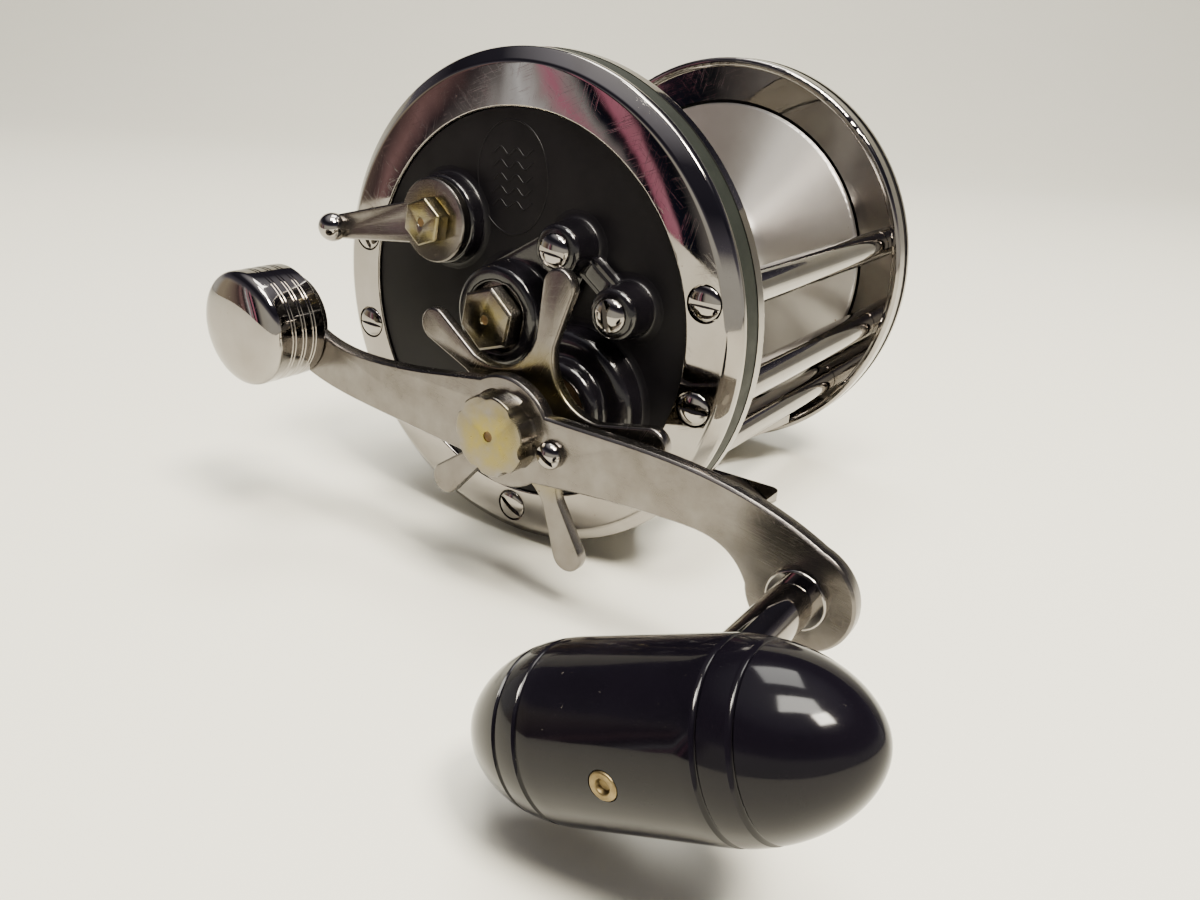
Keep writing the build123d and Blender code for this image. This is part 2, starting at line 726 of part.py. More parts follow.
# ---------------------------------------------------------------- star drag wheel
star_low, star_high = 75.0, 78.0
star_arms = 5
star_turn = 5.0
lobe_reach, lobe_radius = 32.5, 3.9
waist = 2.4
web_curve = 12.5
web_centre = (waist + web_curve) / sin(pi / star_arms)
waist_reach = web_centre * cos(pi / star_arms)
with BuildPart() as star_wheel:
    with BuildSketch(on_drive(star_low)):
        Circle(waist_reach)
        with PolarLocations(web_centre, star_arms, start_angle=star_turn + 180 / star_arms):
            Circle(web_curve, mode=Mode.SUBTRACT)
        with BuildSketch(mode=Mode.PRIVATE) as arm:
            with Locations((waist_reach - 1, 0)):
                Circle(waist)
            with Locations((lobe_reach, 0)):
                Circle(lobe_radius)
            make_hull()
        for i in range(star_arms):
            add(arm.sketch, rotation=star_turn + i * 360 / star_arms)
    extrude(amount=star_high - star_low)
    with BuildSketch(on_drive(star_high)):
        Circle(7.6)
    extrude(amount=4.4)
    with BuildSketch(on_drive(star_low)):
        Circle(sleeve_radius + fit_gap)
    extrude(amount=10, mode=Mode.SUBTRACT)
save(star_wheel, "star_wheel")

# ---------------------------------------------------------------- crank
spindle_boss_radius = 11.2
spindle_radius = 4.6
hub_bulge = 12.8
lock_screw_radius = 1.25
end_hole_radius = 3.0               # holes that the spindle and the counterweight are riveted in
end_tenon_radius = 2.95
with BuildPart() as crank_arm:
    with BuildSketch(on_drive(crank_back)) as crank_outline:
        # the grip side: nearly straight edges that bend down into the spindle's boss
        with BuildLine():
            Spline((4, 6.2), (25, 5.6), (45, 4.7), (60, 2.0), (spindle_y + 3.5, -3.9))
            Line((spindle_y + 3.5, -3.9), (spindle_y - 4, -24.5))
            Line((spindle_y - 4, -24.5), (spindle_y - spindle_boss_radius, spindle_z - 1))
            Spline((spindle_y - spindle_boss_radius, spindle_z - 1), (54, -9.2), (42, -7.9),
                   (26, -8.5), (4, -10.6))
            Line((4, -10.6), (4, 6.2))
        make_face()
        with Locations((spindle_y, spindle_z)):
            Circle(spindle_boss_radius)
        # the counterweight side: a narrow waist that widens to the weight's seat
        with BuildLine():
            Spline((2, 11.4), (-12.3, 9.8), (-24.3, 8.2), (-37, 7.3), (-47, 7.5), (-60, 11.0),
                   (weight_y + 1, weight_z + 8.5))
            Line((weight_y + 1, weight_z + 8.5), (weight_y - 1, weight_z - 8.5))
            Spline((weight_y - 1, weight_z - 8.5), (-58.2, -2.2), (-47.6, -4.2), (-37.5, -5.4),
                   (-24.5, -6.8), (2, -9.6))
            Line((2, -9.6), (2, 11.4))
        make_face()
        with Locations((weight_y, weight_z)):
            Circle(11)
        # the bulge round the nut
        with Locations((0, -0.4)):
            Circle(hub_bulge)
    extrude(amount=crank_face - crank_back)
    chamfer(crank_arm.faces().sort_by(Axis.X)[-1].outer_wire().edges(), 0.5)
    with BuildSketch(on_drive(crank_back)):
        Circle(sleeve_radius + fit_gap)
        with Locations((lock_screw_y, lock_screw_z)):
            Circle(lock_screw_radius + fit_gap)
        with Locations((spindle_y, spindle_z), (weight_y, weight_z)):
            Circle(end_hole_radius)
    extrude(amount=5, mode=Mode.SUBTRACT)
save(crank_arm, "crank_arm")

nut_radius, nut_height = 9.2, 5.0
scallops = 7
with BuildPart() as crank_nut:
    revolve(turned([(crank_face, 0), (crank_face, nut_radius + 0.4), (crank_face + 1, nut_radius),
                    (crank_face + nut_height, nut_radius), (crank_face + nut_height, 0)],
                   axial(drive_y, drive_z),
                   [((crank_face + nut_height, nut_radius), 0.5)]), axis=drive_axis)
    with BuildSketch(on_drive(crank_face)):
        with PolarLocations(nut_radius + 1.9, scallops, start_angle=-8):
            Circle(2.8)
        Circle(1.2)
    extrude(amount=nut_height, mode=Mode.SUBTRACT)
    with BuildSketch(on_drive(crank_face)):
        Circle(sleeve_radius + fit_gap)
    extrude(amount=3.7, mode=Mode.SUBTRACT)
save(crank_nut, "crank_nut")

with BuildPart() as nut_lock_screw:
    revolve(
        turned([(83.6, 0), (83.6, lock_screw_radius), (crank_face + 0.05, lock_screw_radius),
                (crank_face + 0.05, 3.1),
                (crank_face + 1.5, 3.1), (crank_face + 2.4, 2.2), (crank_face + 2.8, 1.0),
                (crank_face + 2.85, 0)],
               axial(drive_y + lock_screw_y, drive_z + lock_screw_z)),
        axis=Axis((0, drive_y + lock_screw_y, axis_height + drive_z + lock_screw_z), (1, 0, 0)))
    with BuildSketch(facing(crank_face + 1.7, drive_y + lock_screw_y, drive_z + lock_screw_z)):
        Rectangle(8, 0.8, rotation=-50)
    extrude(amount=3, mode=Mode.SUBTRACT)
save(nut_lock_screw, "nut_lock_screw")

weight_radius, weight_face = 13.8, 102.0
weight_axis = Axis((0, drive_y + weight_y, axis_height + drive_z + weight_z), (1, 0, 0))
with BuildPart() as counterweight:
    groove = []
    for level in (90.2, 92.8, 95.4):
        groove += [(level - 0.3, weight_radius), (level, weight_radius - 0.5),
                   (level + 0.3, weight_radius)]
    revolve(
        turned([(crank_face, 0), (crank_face, weight_radius)] + groove
               + [(weight_face - 0.6, weight_radius), (weight_face, 0)],
               axial(drive_y + weight_y, drive_z + weight_z),
               [((weight_face - 0.6, weight_radius), 2.6), ((crank_face, weight_radius), 0.5)]),
        axis=weight_axis)
    with BuildSketch(facing(crank_face, drive_y + weight_y, drive_z + weight_z)):
        Circle(end_tenon_radius)
    extrude(amount=crank_back - crank_face)
save(counterweight, "counterweight")

# ---------------------------------------------------------------- grip and its spindle
spindle_axis = Axis((0, drive_y + spindle_y, axis_height + drive_z + spindle_z), (1, 0, 0))
grip_bore_floor = grip_middle - grip_radius + 1.2
pin_radius, rivet_end_radius = 1.9, 2.4     # the spindle's thin end, and the head that closes it
with BuildPart() as grip_spindle:
    revolve(
        turned([(crank_back, 0), (crank_back, end_tenon_radius), (crank_face, end_tenon_radius),
                (crank_face, 6.2),
                (crank_face + 1.4, 6.2), (crank_face + 1.4, spindle_radius),
                (grip_bore_floor, spindle_radius), (grip_bore_floor, pin_radius),
                (grip_middle + grip_radius - 1.6, pin_radius), (grip_middle + grip_radius - 1.6, 0)],
               axial(drive_y + spindle_y, drive_z + spindle_z),
               [((crank_face + 1.4, 6.2), 0.5)]),
        axis=spindle_axis)
save(grip_spindle, "grip_spindle")

with BuildPart() as grip_rivet:
    rivet_low = grip_middle + grip_radius - 1.5
    revolve(turned([(rivet_low, 0), (rivet_low, rivet_end_radius), (rivet_low + 1.4, rivet_end_radius),
                    (rivet_low + 1.8, rivet_end_radius - 0.5), (rivet_low + 1.9, 0)],
                   axial(drive_y + spindle_y, drive_z + spindle_z)), axis=spindle_axis)
save(grip_rivet, "grip_rivet")

nose_start = 0.38
grip_direction = Vector(0, cos(radians(grip_tilt)), sin(radians(grip_tilt)))
grip_centre = (grip_middle, drive_y + spindle_y, axis_height + drive_z + spindle_z)
grip_plane = Plane(origin=grip_centre, x_dir=grip_direction, z_dir=(1, 0, 0))


def grip_curve(share):
    """The grip's radius at this share of its half length: straight, then a bullet nose."""
    past = max(0.0, (abs(share) - nose_start) / (1 - nose_start))
    return grip_radius * sqrt(max(0.0, 1 - past ** 2))


with BuildPart() as grip:
    with BuildSketch(grip_plane):
        nose = [1.0, 0.985, 0.94, 0.87, 0.78, 0.67, 0.55, 0.45, nose_start]
        right = [(s * grip_half_length, grip_curve(s)) for s in nose]
        left = [(-x, r) for x, r in reversed(right)]
        with BuildLine():
            Spline(*right, tangents=[(0, 1), (-1, 0)])
            Line(right[-1], left[0])
            Spline(*left, tangents=[(-1, 0), (0, -1)])
            Line(left[-1], right[0])
        make_face()
    revolve(axis=Axis(grip_centre, grip_direction))
    # bore for the spindle: wide up to its shoulder, then narrow, then the rivet's pocket
    spindle_plane = facing(0, drive_y + spindle_y, drive_z + spindle_z)
    with BuildSketch(spindle_plane.offset(100)):
        Circle(spindle_radius + fit_gap)
    extrude(amount=grip_bore_floor + 0.2 - 100, mode=Mode.SUBTRACT)
    with BuildSketch(spindle_plane.offset(100)):
        Circle(pin_radius + fit_gap)
    extrude(amount=60, mode=Mode.SUBTRACT)
    with BuildSketch(spindle_plane.offset(grip_middle + grip_radius - 1.8)):
        Circle(rivet_end_radius + fit_gap)
    extrude(amount=6, mode=Mode.SUBTRACT)
save(grip, "grip")

# ---------------------------------------------------------------- free-spool lever and jack
lever_low, lever_high = 62.0, 64.4
knob_y = lever_reach * cos(radians(lever_angle))
knob_z = lever_reach * sin(radians(lever_angle))
with BuildPart() as lever_arm:
    with BuildSketch(on_lever(lever_low)):
        Circle(10.1)
        with BuildSketch(mode=Mode.PRIVATE) as blade:
            Circle(5.6)
            with Locations((lever_reach, 0)):
                Circle(3.0)
            make_hull()
        add(blade.sketch, rotation=lever_angle)
        Circle(lever_shaft_radius + fit_gap, mode=Mode.SUBTRACT)
        with Locations((knob_y, knob_z)):
            Circle(1.5, mode=Mode.SUBTRACT)
    extrude(amount=lever_high - lever_low)
    chamfer(lever_arm.faces().sort_by(Axis.X)[-1].outer_wire().edges(), 0.4)
save(lever_arm, "lever_arm")

with BuildPart() as lever_knob:
    revolve(
        turned([(lever_low, 0), (lever_low, 1.45), (lever_high + 0.02, 1.45),
                (lever_high + 0.02, 2.6), (lever_high + 1.0, 3.5), (lever_high + 2.4, 3.7),
                (lever_high + 3.7, 2.9), (lever_high + 4.4, 1.5), (lever_high + 4.6, 0)],
               axial(lever_y + knob_y, lever_z + knob_z)),
        axis=Axis((0, lever_y + knob_y, axis_height + lever_z + knob_z), (1, 0, 0)))
save(lever_knob, "lever_knob")

with BuildPart() as lever_screw:
    with BuildSketch(on_lever(lever_high)):
        RegularPolygon(5.2, 6, major_radius=False, rotation=20)
    extrude(amount=4.0)
    chamfer(lever_screw.faces().sort_by(Axis.X)[-1].edges(), 0.5)
    with BuildSketch(on_lever(lever_high)):
        Circle(1.4)
    extrude(amount=-9)
    with BuildSketch(on_lever(lever_high + 4.0)):
        Circle(1.0)
    extrude(amount=-3, mode=Mode.SUBTRACT)
save(lever_screw, "lever_screw")

# the jack is a disc whose sloping face lifts the yoke as the lever turns
jack_radius = 5.5
jack_contact = 4.5
jack_slope = yoke_travel / (2 * sin(pi / 4)) / jack_contact
jack_low = 45.9
jack_middle = jack_low + 0.6 + jack_radius * jack_slope
yoke_direction = drive_angle + 180
lever_from_spool = sqrt(lever_y ** 2 + lever_z ** 2)
# direction from the lever's axis back to the spool's axis, where the yoke's foot stands
foot_angle = 180 + yoke_direction
steepest_angle = foot_angle + 45
with BuildPart() as eccentric_jack:
    with BuildSketch(on_lever(jack_low)):
        Circle(jack_radius)
    extrude(amount=8)
    uphill = around(1, steepest_angle + 90)
    slope_plane = Plane(
        origin=(jack_middle, lever_y, axis_height + lever_z),
        z_dir=(1, -jack_slope * uphill[0], -jack_slope * uphill[1]))
    split(bisect_by=slope_plane, keep=Keep.BOTTOM)
    with BuildSketch(on_lever(jack_low)):
        Circle(lever_shaft_radius)
    extrude(amount=lever_high - jack_low)
    with BuildSketch(on_lever(lever_high)):
        Circle(1.4 + fit_gap)
    extrude(amount=-9.2, mode=Mode.SUBTRACT)
save(eccentric_jack, "eccentric_jack")

# ---------------------------------------------------------------- yoke and its springs
yoke_low, yoke_high = 48.4, 49.8
fork_inner, fork_outer = 6.7, 9.3
foot_radius = 1.2
foot_reach = lever_from_spool - jack_contact
arm_root, arm_end = 12.0, foot_reach + 1.0
spring_places = [around(16.5, yoke_direction + a) for a in (-14, 14)]
yoke_spring_wire, yoke_spring_radius = 0.45, 2.1
# the jack's face under the foot at rest, then the ball that rides on it
slope_cosine = 1 / sqrt(1 + jack_slope ** 2)
face_under_foot = jack_middle - jack_slope * jack_contact * sin(pi / 4)
ball_middle = face_under_foot + foot_radius / slope_cosine + 0.24
with BuildPart() as pinion_yoke:
    with BuildSketch(facing(yoke_low)):
        with BuildSketch(mode=Mode.PRIVATE) as fork:
            Circle(fork_outer)
            with Locations((arm_root, 0)):
                Rectangle(14, 14)
            with Locations(((arm_end + arm_root) / 2, 0)):
                Rectangle(arm_end - arm_root, 5.5)
            Circle(fork_inner, mode=Mode.SUBTRACT)
            with Locations((-7, 0)):
                Rectangle(14, 2 * fork_inner, mode=Mode.SUBTRACT)
            with Locations((-10 - 3.6, 0)):
                Rectangle(20, 40, mode=Mode.SUBTRACT)
        add(fork.sketch, rotation=yoke_direction)
    extrude(amount=yoke_high - yoke_low)
    # the round-ended foot that rides on the jack
    foot_y, foot_z = around(foot_reach, yoke_direction)
    revolve(turned(tube(ball_middle - foot_radius, yoke_high, 0, foot_radius), axial(foot_y, foot_z),
                   [((ball_middle - foot_radius, foot_radius), foot_radius - 0.05)]),
            axis=Axis((0, foot_y, axis_height + foot_z), (1, 0, 0)))
save(pinion_yoke, "pinion_yoke")

with BuildPart() as yoke_springs:
    for y, z in spring_places:
        spring_length = cavity_ceiling - yoke_high - yoke_spring_wire - 0.2
        with BuildLine(facing((yoke_high + cavity_ceiling) / 2, y, z)):
            coil = Helix(spring_length / 4, spring_length, yoke_spring_radius)
        with BuildSketch(Plane(origin=coil @ 0, z_dir=coil % 0)):
            Circle(yoke_spring_wire / 2)
        sweep(path=coil, is_frenet=True)
save(yoke_springs, "yoke_springs")

# ---------------------------------------------------------------- click
pawl_low, pawl_high = -47.9, -46.1
pawl_tip = 15.4                     # the tongue's tip from the spool's axis, click off
with BuildPart() as click_pawl:
    with BuildSketch(facing(pawl_low)):
        with BuildLine():
            Polyline((-0.45, pawl_tip), (0.45, pawl_tip), (2.2, pawl_tip + 4.4),
                     (2.6, click_rest + 2), (-2.6, click_rest + 2), (-2.2, pawl_tip + 4.4),
                     close=True)
        make_face()
        with Locations((0, click_rest)):
            Circle(1.2, mode=Mode.SUBTRACT)
    extrude(amount=pawl_high - pawl_low)
save(click_pawl, "click_pawl")

with BuildPart() as click_button:
    button_axis = Axis((0, 0, axis_height + click_rest), (1, 0, 0))
    revolve(
        turned([(-46.1, 0), (-46.1, 1.15), (-48.0, 1.15), (-48.0, stem_radius), (-54.0, stem_radius),
                (-54.0, 5.0), (-57.2, 5.0), (-57.2, 0)], axial(0, click_rest),
               [((-57.2, 5.0), 0.8), ((-54.0, 5.0), 0.4)]),
        axis=button_axis)
    with BuildSketch(facing(-57.2, 0, click_rest)):
        with PolarLocations(5.2, 18):
            Circle(0.45)
    extrude(amount=3.4, mode=Mode.SUBTRACT)
save(click_button, "click_button")

with BuildPart() as click_spring:
    # a hairpin of flat spring steel that hugs the tongue, held on two pins by the plate
    with BuildSketch(facing(-50.6)):
        with BuildLine():
            Polyline((-3.3, 16), (-3.9, 21), (-3.9, 30.5))
            ThreePointArc((-3.9, 30.5), (0, 34.4), (3.9, 30.5))
            Polyline((3.9, 30.5), (3.9, 21), (3.3, 16))
        trace(line_width=0.5)
    extrude(amount=1.6)
save(click_spring, "click_spring")

# ---------------------------------------------------------------- anti-reverse dog
# its tip from its pivot with the dog held off, and the share of that where it is thinned
dog_tip_y, dog_tip_z = -4.79, -11.63
dog_neck = 0.64
with BuildPart() as ratchet_dog:
    with BuildSketch(on_drive(48.1)):
        with BuildSketch(mode=Mode.PRIVATE) as dog:
            Circle(3.1)
            with Locations((dog_tip_y * dog_neck, dog_tip_z * dog_neck)):
                Circle(0.9)
            make_hull()
        with BuildSketch(mode=Mode.PRIVATE) as tip:
            with Locations((dog_tip_y * dog_neck, dog_tip_z * dog_neck)):
                Circle(0.9)
            with Locations((dog_tip_y, dog_tip_z)):
                Circle(0.35)
            make_hull()
        with Locations((dog_y, dog_z)):
            add(dog.sketch)
            add(tip.sketch)
            Circle(stud_radius + fit_gap, mode=Mode.SUBTRACT)
    extrude(amount=1.5)
save(ratchet_dog, "ratchet_dog")

with BuildPart() as dog_stud:
    with BuildSketch(facing(bridge_low, drive_y + dog_y, drive_z + dog_z)):
        Circle(stud_radius - 0.02)
    extrude(amount=3.5)
save(dog_stud, "dog_stud")

with BuildPart() as dog_spring:
    with BuildSketch(facing(48.3, drive_y + dog_y, drive_z + dog_z)):
        with BuildLine():
            Polyline((4.5, -1), (1.6, -8.0), (-0.6, -12.0))
        trace(line_width=0.5)
        with Locations((4.7, -0.4)):
            Circle(1.0)
    extrude(amount=1.2)
save(dog_spring, "dog_spring")
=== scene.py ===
"""The looks of a trolling reel: materials for every piece, and finer meshes for the pieces that show."""
import json
from math import acos, cos, pi, radians, sin, tan
import bmesh
import bpy
from mathutils import Matrix, Vector


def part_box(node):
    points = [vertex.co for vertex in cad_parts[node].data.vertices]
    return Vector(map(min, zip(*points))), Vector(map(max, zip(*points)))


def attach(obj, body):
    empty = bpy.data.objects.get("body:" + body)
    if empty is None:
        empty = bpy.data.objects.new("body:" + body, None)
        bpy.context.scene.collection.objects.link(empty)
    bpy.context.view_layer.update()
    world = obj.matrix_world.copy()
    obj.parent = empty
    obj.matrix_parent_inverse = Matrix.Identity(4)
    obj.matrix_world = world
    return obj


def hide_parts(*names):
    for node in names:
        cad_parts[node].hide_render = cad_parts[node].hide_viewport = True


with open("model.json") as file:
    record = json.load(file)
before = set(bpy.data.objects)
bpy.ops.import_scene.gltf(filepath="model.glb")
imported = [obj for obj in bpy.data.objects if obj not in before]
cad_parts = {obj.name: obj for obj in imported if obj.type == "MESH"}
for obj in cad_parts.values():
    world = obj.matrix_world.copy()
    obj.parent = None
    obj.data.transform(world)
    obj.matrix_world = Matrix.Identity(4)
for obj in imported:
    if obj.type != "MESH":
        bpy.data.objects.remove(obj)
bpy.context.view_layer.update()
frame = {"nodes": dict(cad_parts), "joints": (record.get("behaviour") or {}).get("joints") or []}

nodes = frame["nodes"]
joints = {joint["name"]: joint for joint in frame["joints"]}
MM = 0.001


def axis_place(joint):
    """(y, z) of a joint's axis along X, in millimetres."""
    return (joints[joint]["pos_m"][1] / MM, joints[joint]["pos_m"][2] / MM)


spool_y, spool_z = axis_place("spool_spin")
drive_y, drive_z = axis_place("crank_turn")
lever_y, lever_z = axis_place("lever_turn")
spindle_y, spindle_z = axis_place("grip_spin")


def low(node, axis):
    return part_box(node)[0]["xyz".index(axis)] / MM


def high(node, axis):
    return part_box(node)[1]["xyz".index(axis)] / MM


# ------------------------------------------------------------------ camera
camera = bpy.data.objects.new("camera", bpy.data.cameras.new("camera"))
right = Vector((-0.5662, 0.8223, 0.0573))
up = Vector((-0.2817, -0.2584, 0.9241))
back = Vector((0.7746, 0.5071, 0.3779))
turn = Matrix((right, up, back)).transposed().to_4x4()
camera.matrix_world = Matrix.Translation((0.24159, 0.14688, 0.12207)) @ turn
camera.data.lens = 29.58
camera.data.sensor_width = 36
camera.data.clip_start = 0.005
bpy.context.scene.collection.objects.link(camera)
bpy.context.scene.camera = camera


def linear(hex_colour):
    """Linear RGBA from an sRGB hex value."""
    channels = [int(hex_colour[i:i + 2], 16) / 255 for i in (1, 3, 5)]
    return [c / 12.92 if c <= 0.04045 else ((c + 0.055) / 1.055) ** 2.4 for c in channels] + [1.0]


def add_node(tree, kind, settings=None, links=None, **choices):
    """Adds one node: choices set its options, settings its input values, and links join its inputs."""
    added = tree.nodes.new(kind)
    for option, value in choices.items():
        setattr(added, option, value)
    for socket, value in (settings or {}).items():
        added.inputs[socket].default_value = value
    for socket, source in (links or {}).items():
        tree.links.new(source, added.inputs[socket])
    return added


def arithmetic(tree, operation, *values):
    """One sum, in a material or a Geometry Nodes tree; each value is a number or a socket."""
    settings = {i: value for i, value in enumerate(values) if isinstance(value, (int, float))}
    links = {i: value for i, value in enumerate(values) if i not in settings}
    return add_node(tree, "ShaderNodeMath", settings, links, operation=operation).outputs["Value"]


def ramp(tree, source, stops):
    """Colours along a value from 0 to 1; stops are (place, sRGB hex)."""
    added = add_node(tree, "ShaderNodeValToRGB", links={"Fac": source})
    while len(added.color_ramp.elements) < len(stops):
        added.color_ramp.elements.new(0.5)
    for element, (place, colour) in zip(added.color_ramp.elements, stops):
        element.position = place
        element.color = linear(colour)
    return added.outputs["Color"]


# ------------------------------------------------------------------ patterns shared by the materials
FACTOR, FIRST, SECOND, MIXED = 0, 6, 7, 2     # sockets of the colour mix


def start_material(name):
    """A new material's node tree, and its Object coordinates in millimetres."""
    material = bpy.data.materials.new(name)
    material.use_nodes = True
    material.node_tree.nodes.clear()
    tree = material.node_tree
    coordinates = add_node(tree, "ShaderNodeTexCoord")
    place = add_node(tree, "ShaderNodeMapping", {"Scale": (1 / MM, 1 / MM, 1 / MM)},
                     {"Vector": coordinates.outputs["Object"]})
    return material, tree, place.outputs["Vector"]


def close_material(tree, settings, links):
    """The material's shader and its output."""
    shader = add_node(tree, "ShaderNodeBsdfPrincipled", settings, links)
    add_node(tree, "ShaderNodeOutputMaterial", links={"Surface": shader.outputs["BSDF"]})


def between(tree, source, lowest, highest, to_low=0.0, to_high=1.0):
    """A value scaled from one span to another and held inside it."""
    return add_node(tree, "ShaderNodeMapRange",
                    {"From Min": lowest, "From Max": highest, "To Min": to_low, "To Max": to_high},
                    {"Value": source}).outputs["Result"]


def cloud(tree, place, size, seed, detail=3.0, roughness=0.55):
    """Soft noise from 0 to 1 with features about this many millimetres across."""
    moved = add_node(tree, "ShaderNodeVectorMath", {1: (seed * 17.3, seed * 7.1, seed * 11.9)},
                     {0: place}, operation="ADD")
    return add_node(tree, "ShaderNodeTexNoise", {"Scale": 1 / size, "Detail": detail, "Roughness": roughness},
                    {"Vector": moved.outputs["Vector"]}).outputs["Fac"]


def spots(tree, place, size, share, seed):
    """A mask of separate blotches; share is roughly how much of the surface they cover."""
    edge = 0.72 - 0.4 * share
    return between(tree, cloud(tree, place, size, seed, 4.0, 0.6), edge, edge + 0.05)


def streaks(tree, place, turn_degrees, length, width, seed):
    """Noise drawn out into fine parallel lines across X, turned about X by an angle."""
    turned = add_node(tree, "ShaderNodeMapping", {"Rotation": (-radians(turn_degrees), 0, 0)},
                      {"Vector": place})
    drawn = add_node(tree, "ShaderNodeMapping", {"Scale": (1 / width, 1 / length, 1 / width)},
                     {"Vector": turned.outputs["Vector"]})
    return cloud(tree, drawn.outputs["Vector"], 1.0, seed, 2.0, 0.5)


def scratches(tree, place, turn_degrees, seed, share=0.5):
    """A mask of long hairlines, 12 mm by 0.12 mm, in one direction."""
    lines = streaks(tree, place, turn_degrees, 12.0, 0.12, seed)
    patches = between(tree, cloud(tree, place, 9.0, seed + 3), 0.45, 0.6)
    thin = between(tree, lines, 0.66 - 0.05 * share, 0.72)
    return arithmetic(tree, "MULTIPLY", thin, patches)


def greatest(tree, *values):
    """The largest of several values."""
    result = values[0]
    for value in values[1:]:
        result = arithmetic(tree, "MAXIMUM", result, value)
    return result


def blend(tree, mask, first, second):
    """A colour that goes from first to second with the mask; each is an sRGB hex or a socket."""
    settings, links = {}, {FACTOR: mask}
    for socket, colour in ((FIRST, first), (SECOND, second)):
        if isinstance(colour, str):
            settings[socket] = linear(colour)
        else:
            links[socket] = colour
    return add_node(tree, "ShaderNodeMix", settings, links, data_type="RGBA").outputs[MIXED]


def total(tree, first, second, weight):
    """first plus second times a weight."""
    return arithmetic(tree, "MULTIPLY_ADD", second, weight, first)


def relief(tree, height, depth, under=None):
    """A bump whose full height is this many millimetres."""
    links = {"Height": height}
    if under:
        links["Normal"] = under
    bump = add_node(tree, "ShaderNodeBump", {"Strength": 1.0, "Distance": depth * MM}, links)
    return bump.outputs["Normal"]


def radius_from(tree, place, y, z):
    """Distance in millimetres from an axis along X."""
    centred = add_node(tree, "ShaderNodeMapping", {"Location": (0, -y, -z), "Scale": (0, 1, 1)},
                       {"Vector": place})
    return add_node(tree, "ShaderNodeVectorMath", links={0: centred.outputs["Vector"]},
                    operation="LENGTH").outputs["Value"]


# ------------------------------------------------------------------ lights and what the metal reflects
def soft_box(name, place, aim, size, power, colour):
    """A square studio light that looks at a point."""
    light = bpy.data.lights.new(name, "AREA")
    light.shape = "RECTANGLE"
    light.size, light.size_y = size
    light.energy = power
    light.color = linear(colour)[:3]
    lamp = bpy.data.objects.new(name, light)
    facing = (Vector(aim) - Vector(place)).to_track_quat("-Z", "Y").to_matrix().to_4x4()
    lamp.matrix_world = Matrix.Translation(place) @ facing
    bpy.context.scene.collection.objects.link(lamp)


middle = (0.03, 0.0, 0.05)
soft_box("window", (0.29, 0.62, 1.05), middle, (0.30, 0.24), 27, "#FFF6E6")
soft_box("ceiling", (-0.3, -0.2, 1.2), middle, (0.5, 0.5), 9, "#FFFDF6")
soft_box("backdrop_light", (0.3, 0.3, 1.7), (-1.3, -0.9, 0.3), (0.8, 0.8), 55, "#FFFBF0")

world = bpy.data.worlds.new("studio")
bpy.context.scene.world = world
world.use_nodes = True
sky = world.node_tree
sky.nodes.clear()
toward = add_node(sky, "ShaderNodeTexCoord").outputs["Generated"]
compass = add_node(sky, "ShaderNodeSeparateXYZ", links={"Vector": toward}).outputs
by_height = ramp(sky, between(sky, compass["Z"], -1.0, 1.0), [
    (0.0, "#8F8B82"), (0.38, "#6E6A68"), (0.50, "#D9D6CC"), (0.58, "#CBC7BF"), (0.64, "#6B6770"),
    (0.74, "#2E2C36"), (0.84, "#3A3842"), (0.92, "#A5A3AA"), (1.0, "#E4E2E0")])
# dark and rose cards in front of the reel, by their compass heading in degrees from +X
heading = arithmetic(sky, "ARCTAN2", compass["Y"], compass["X"])
card_span = 60
along_cards = between(sky, heading, -radians(card_span), 0.0)
cards = ramp(sky, along_cards, [(1 + degrees_from_x / card_span, colour) for degrees_from_x, colour in [
    (-60, "#B9AB94"), (-50, "#86736A"), (-47, "#5E4E4C"), (-44.5, "#A5807E"), (-42, "#3E3438"),
    (-40, "#8C8684"), (-38.9, "#FFFFFF"), (-38, "#C2B9B6"), (-37, "#DA88A0"), (-35.9, "#B5B0AE"),
    (-34.8, "#23222E"), (-34, "#15161F"), (-33.3, "#D27F96"), (-31.8, "#D98FA2"), (-31, "#1E1F2C"),
    (-28.5, "#17181F"), (-25, "#8B8580"), (-20, "#CFCABC"), (0, "#D8D4C8")]])
above_feet = between(sky, compass["Z"], -0.45, -0.38)
below_tops = between(sky, compass["Z"], 0.30, 0.18)
in_front = between(sky, compass["X"], 0.25, 0.4)
card_area = arithmetic(sky, "MULTIPLY", arithmetic(sky, "MULTIPLY", above_feet, below_tops), in_front)
room = blend(sky, card_area, by_height, cards)
seen = add_node(sky, "ShaderNodeLightPath").outputs["Is Camera Ray"]
glow = add_node(sky, "ShaderNodeBackground", {"Strength": 1.3}, {"Color": blend(sky, seen, room, "#CFCDC4")})
add_node(sky, "ShaderNodeOutputWorld", links={"Surface": glow.outputs["Background"]})


# ------------------------------------------------------------------ metals
def chrome_plated_brass(name, tint="#9A9692", haze=0.02):
    """Old bright chrome plate over polished brass: a mirror dulled by hairlines, haze and pin-prick rust."""
    material, tree, place = start_material(name)
    haze_patches = cloud(tree, place, 14.0, 1, 5.0)
    hairlines = greatest(tree, scratches(tree, place, 20, 2), scratches(tree, place, 75, 3),
                         scratches(tree, place, 140, 4, 0.3))
    rust = spots(tree, place, 0.8, 0.0, 5)
    plate = blend(tree, between(tree, haze_patches, 0.4, 0.8), tint, "#8A847E")
    colour = blend(tree, rust, plate, "#6E4E30")
    dull = total(tree, between(tree, haze_patches, 0.4, 0.8, haze, haze + 0.08), hairlines, 0.07)
    roughness = total(tree, dull, rust, 0.4)
    waviness = relief(tree, cloud(tree, place, 9.0, 6, 1.0), 0.02)
    normal = relief(tree, hairlines, -0.0015, waviness)
    close_material(tree, {"Metallic": 1.0}, {"Base Color": colour, "Roughness": roughness, "Normal": normal})
    return material


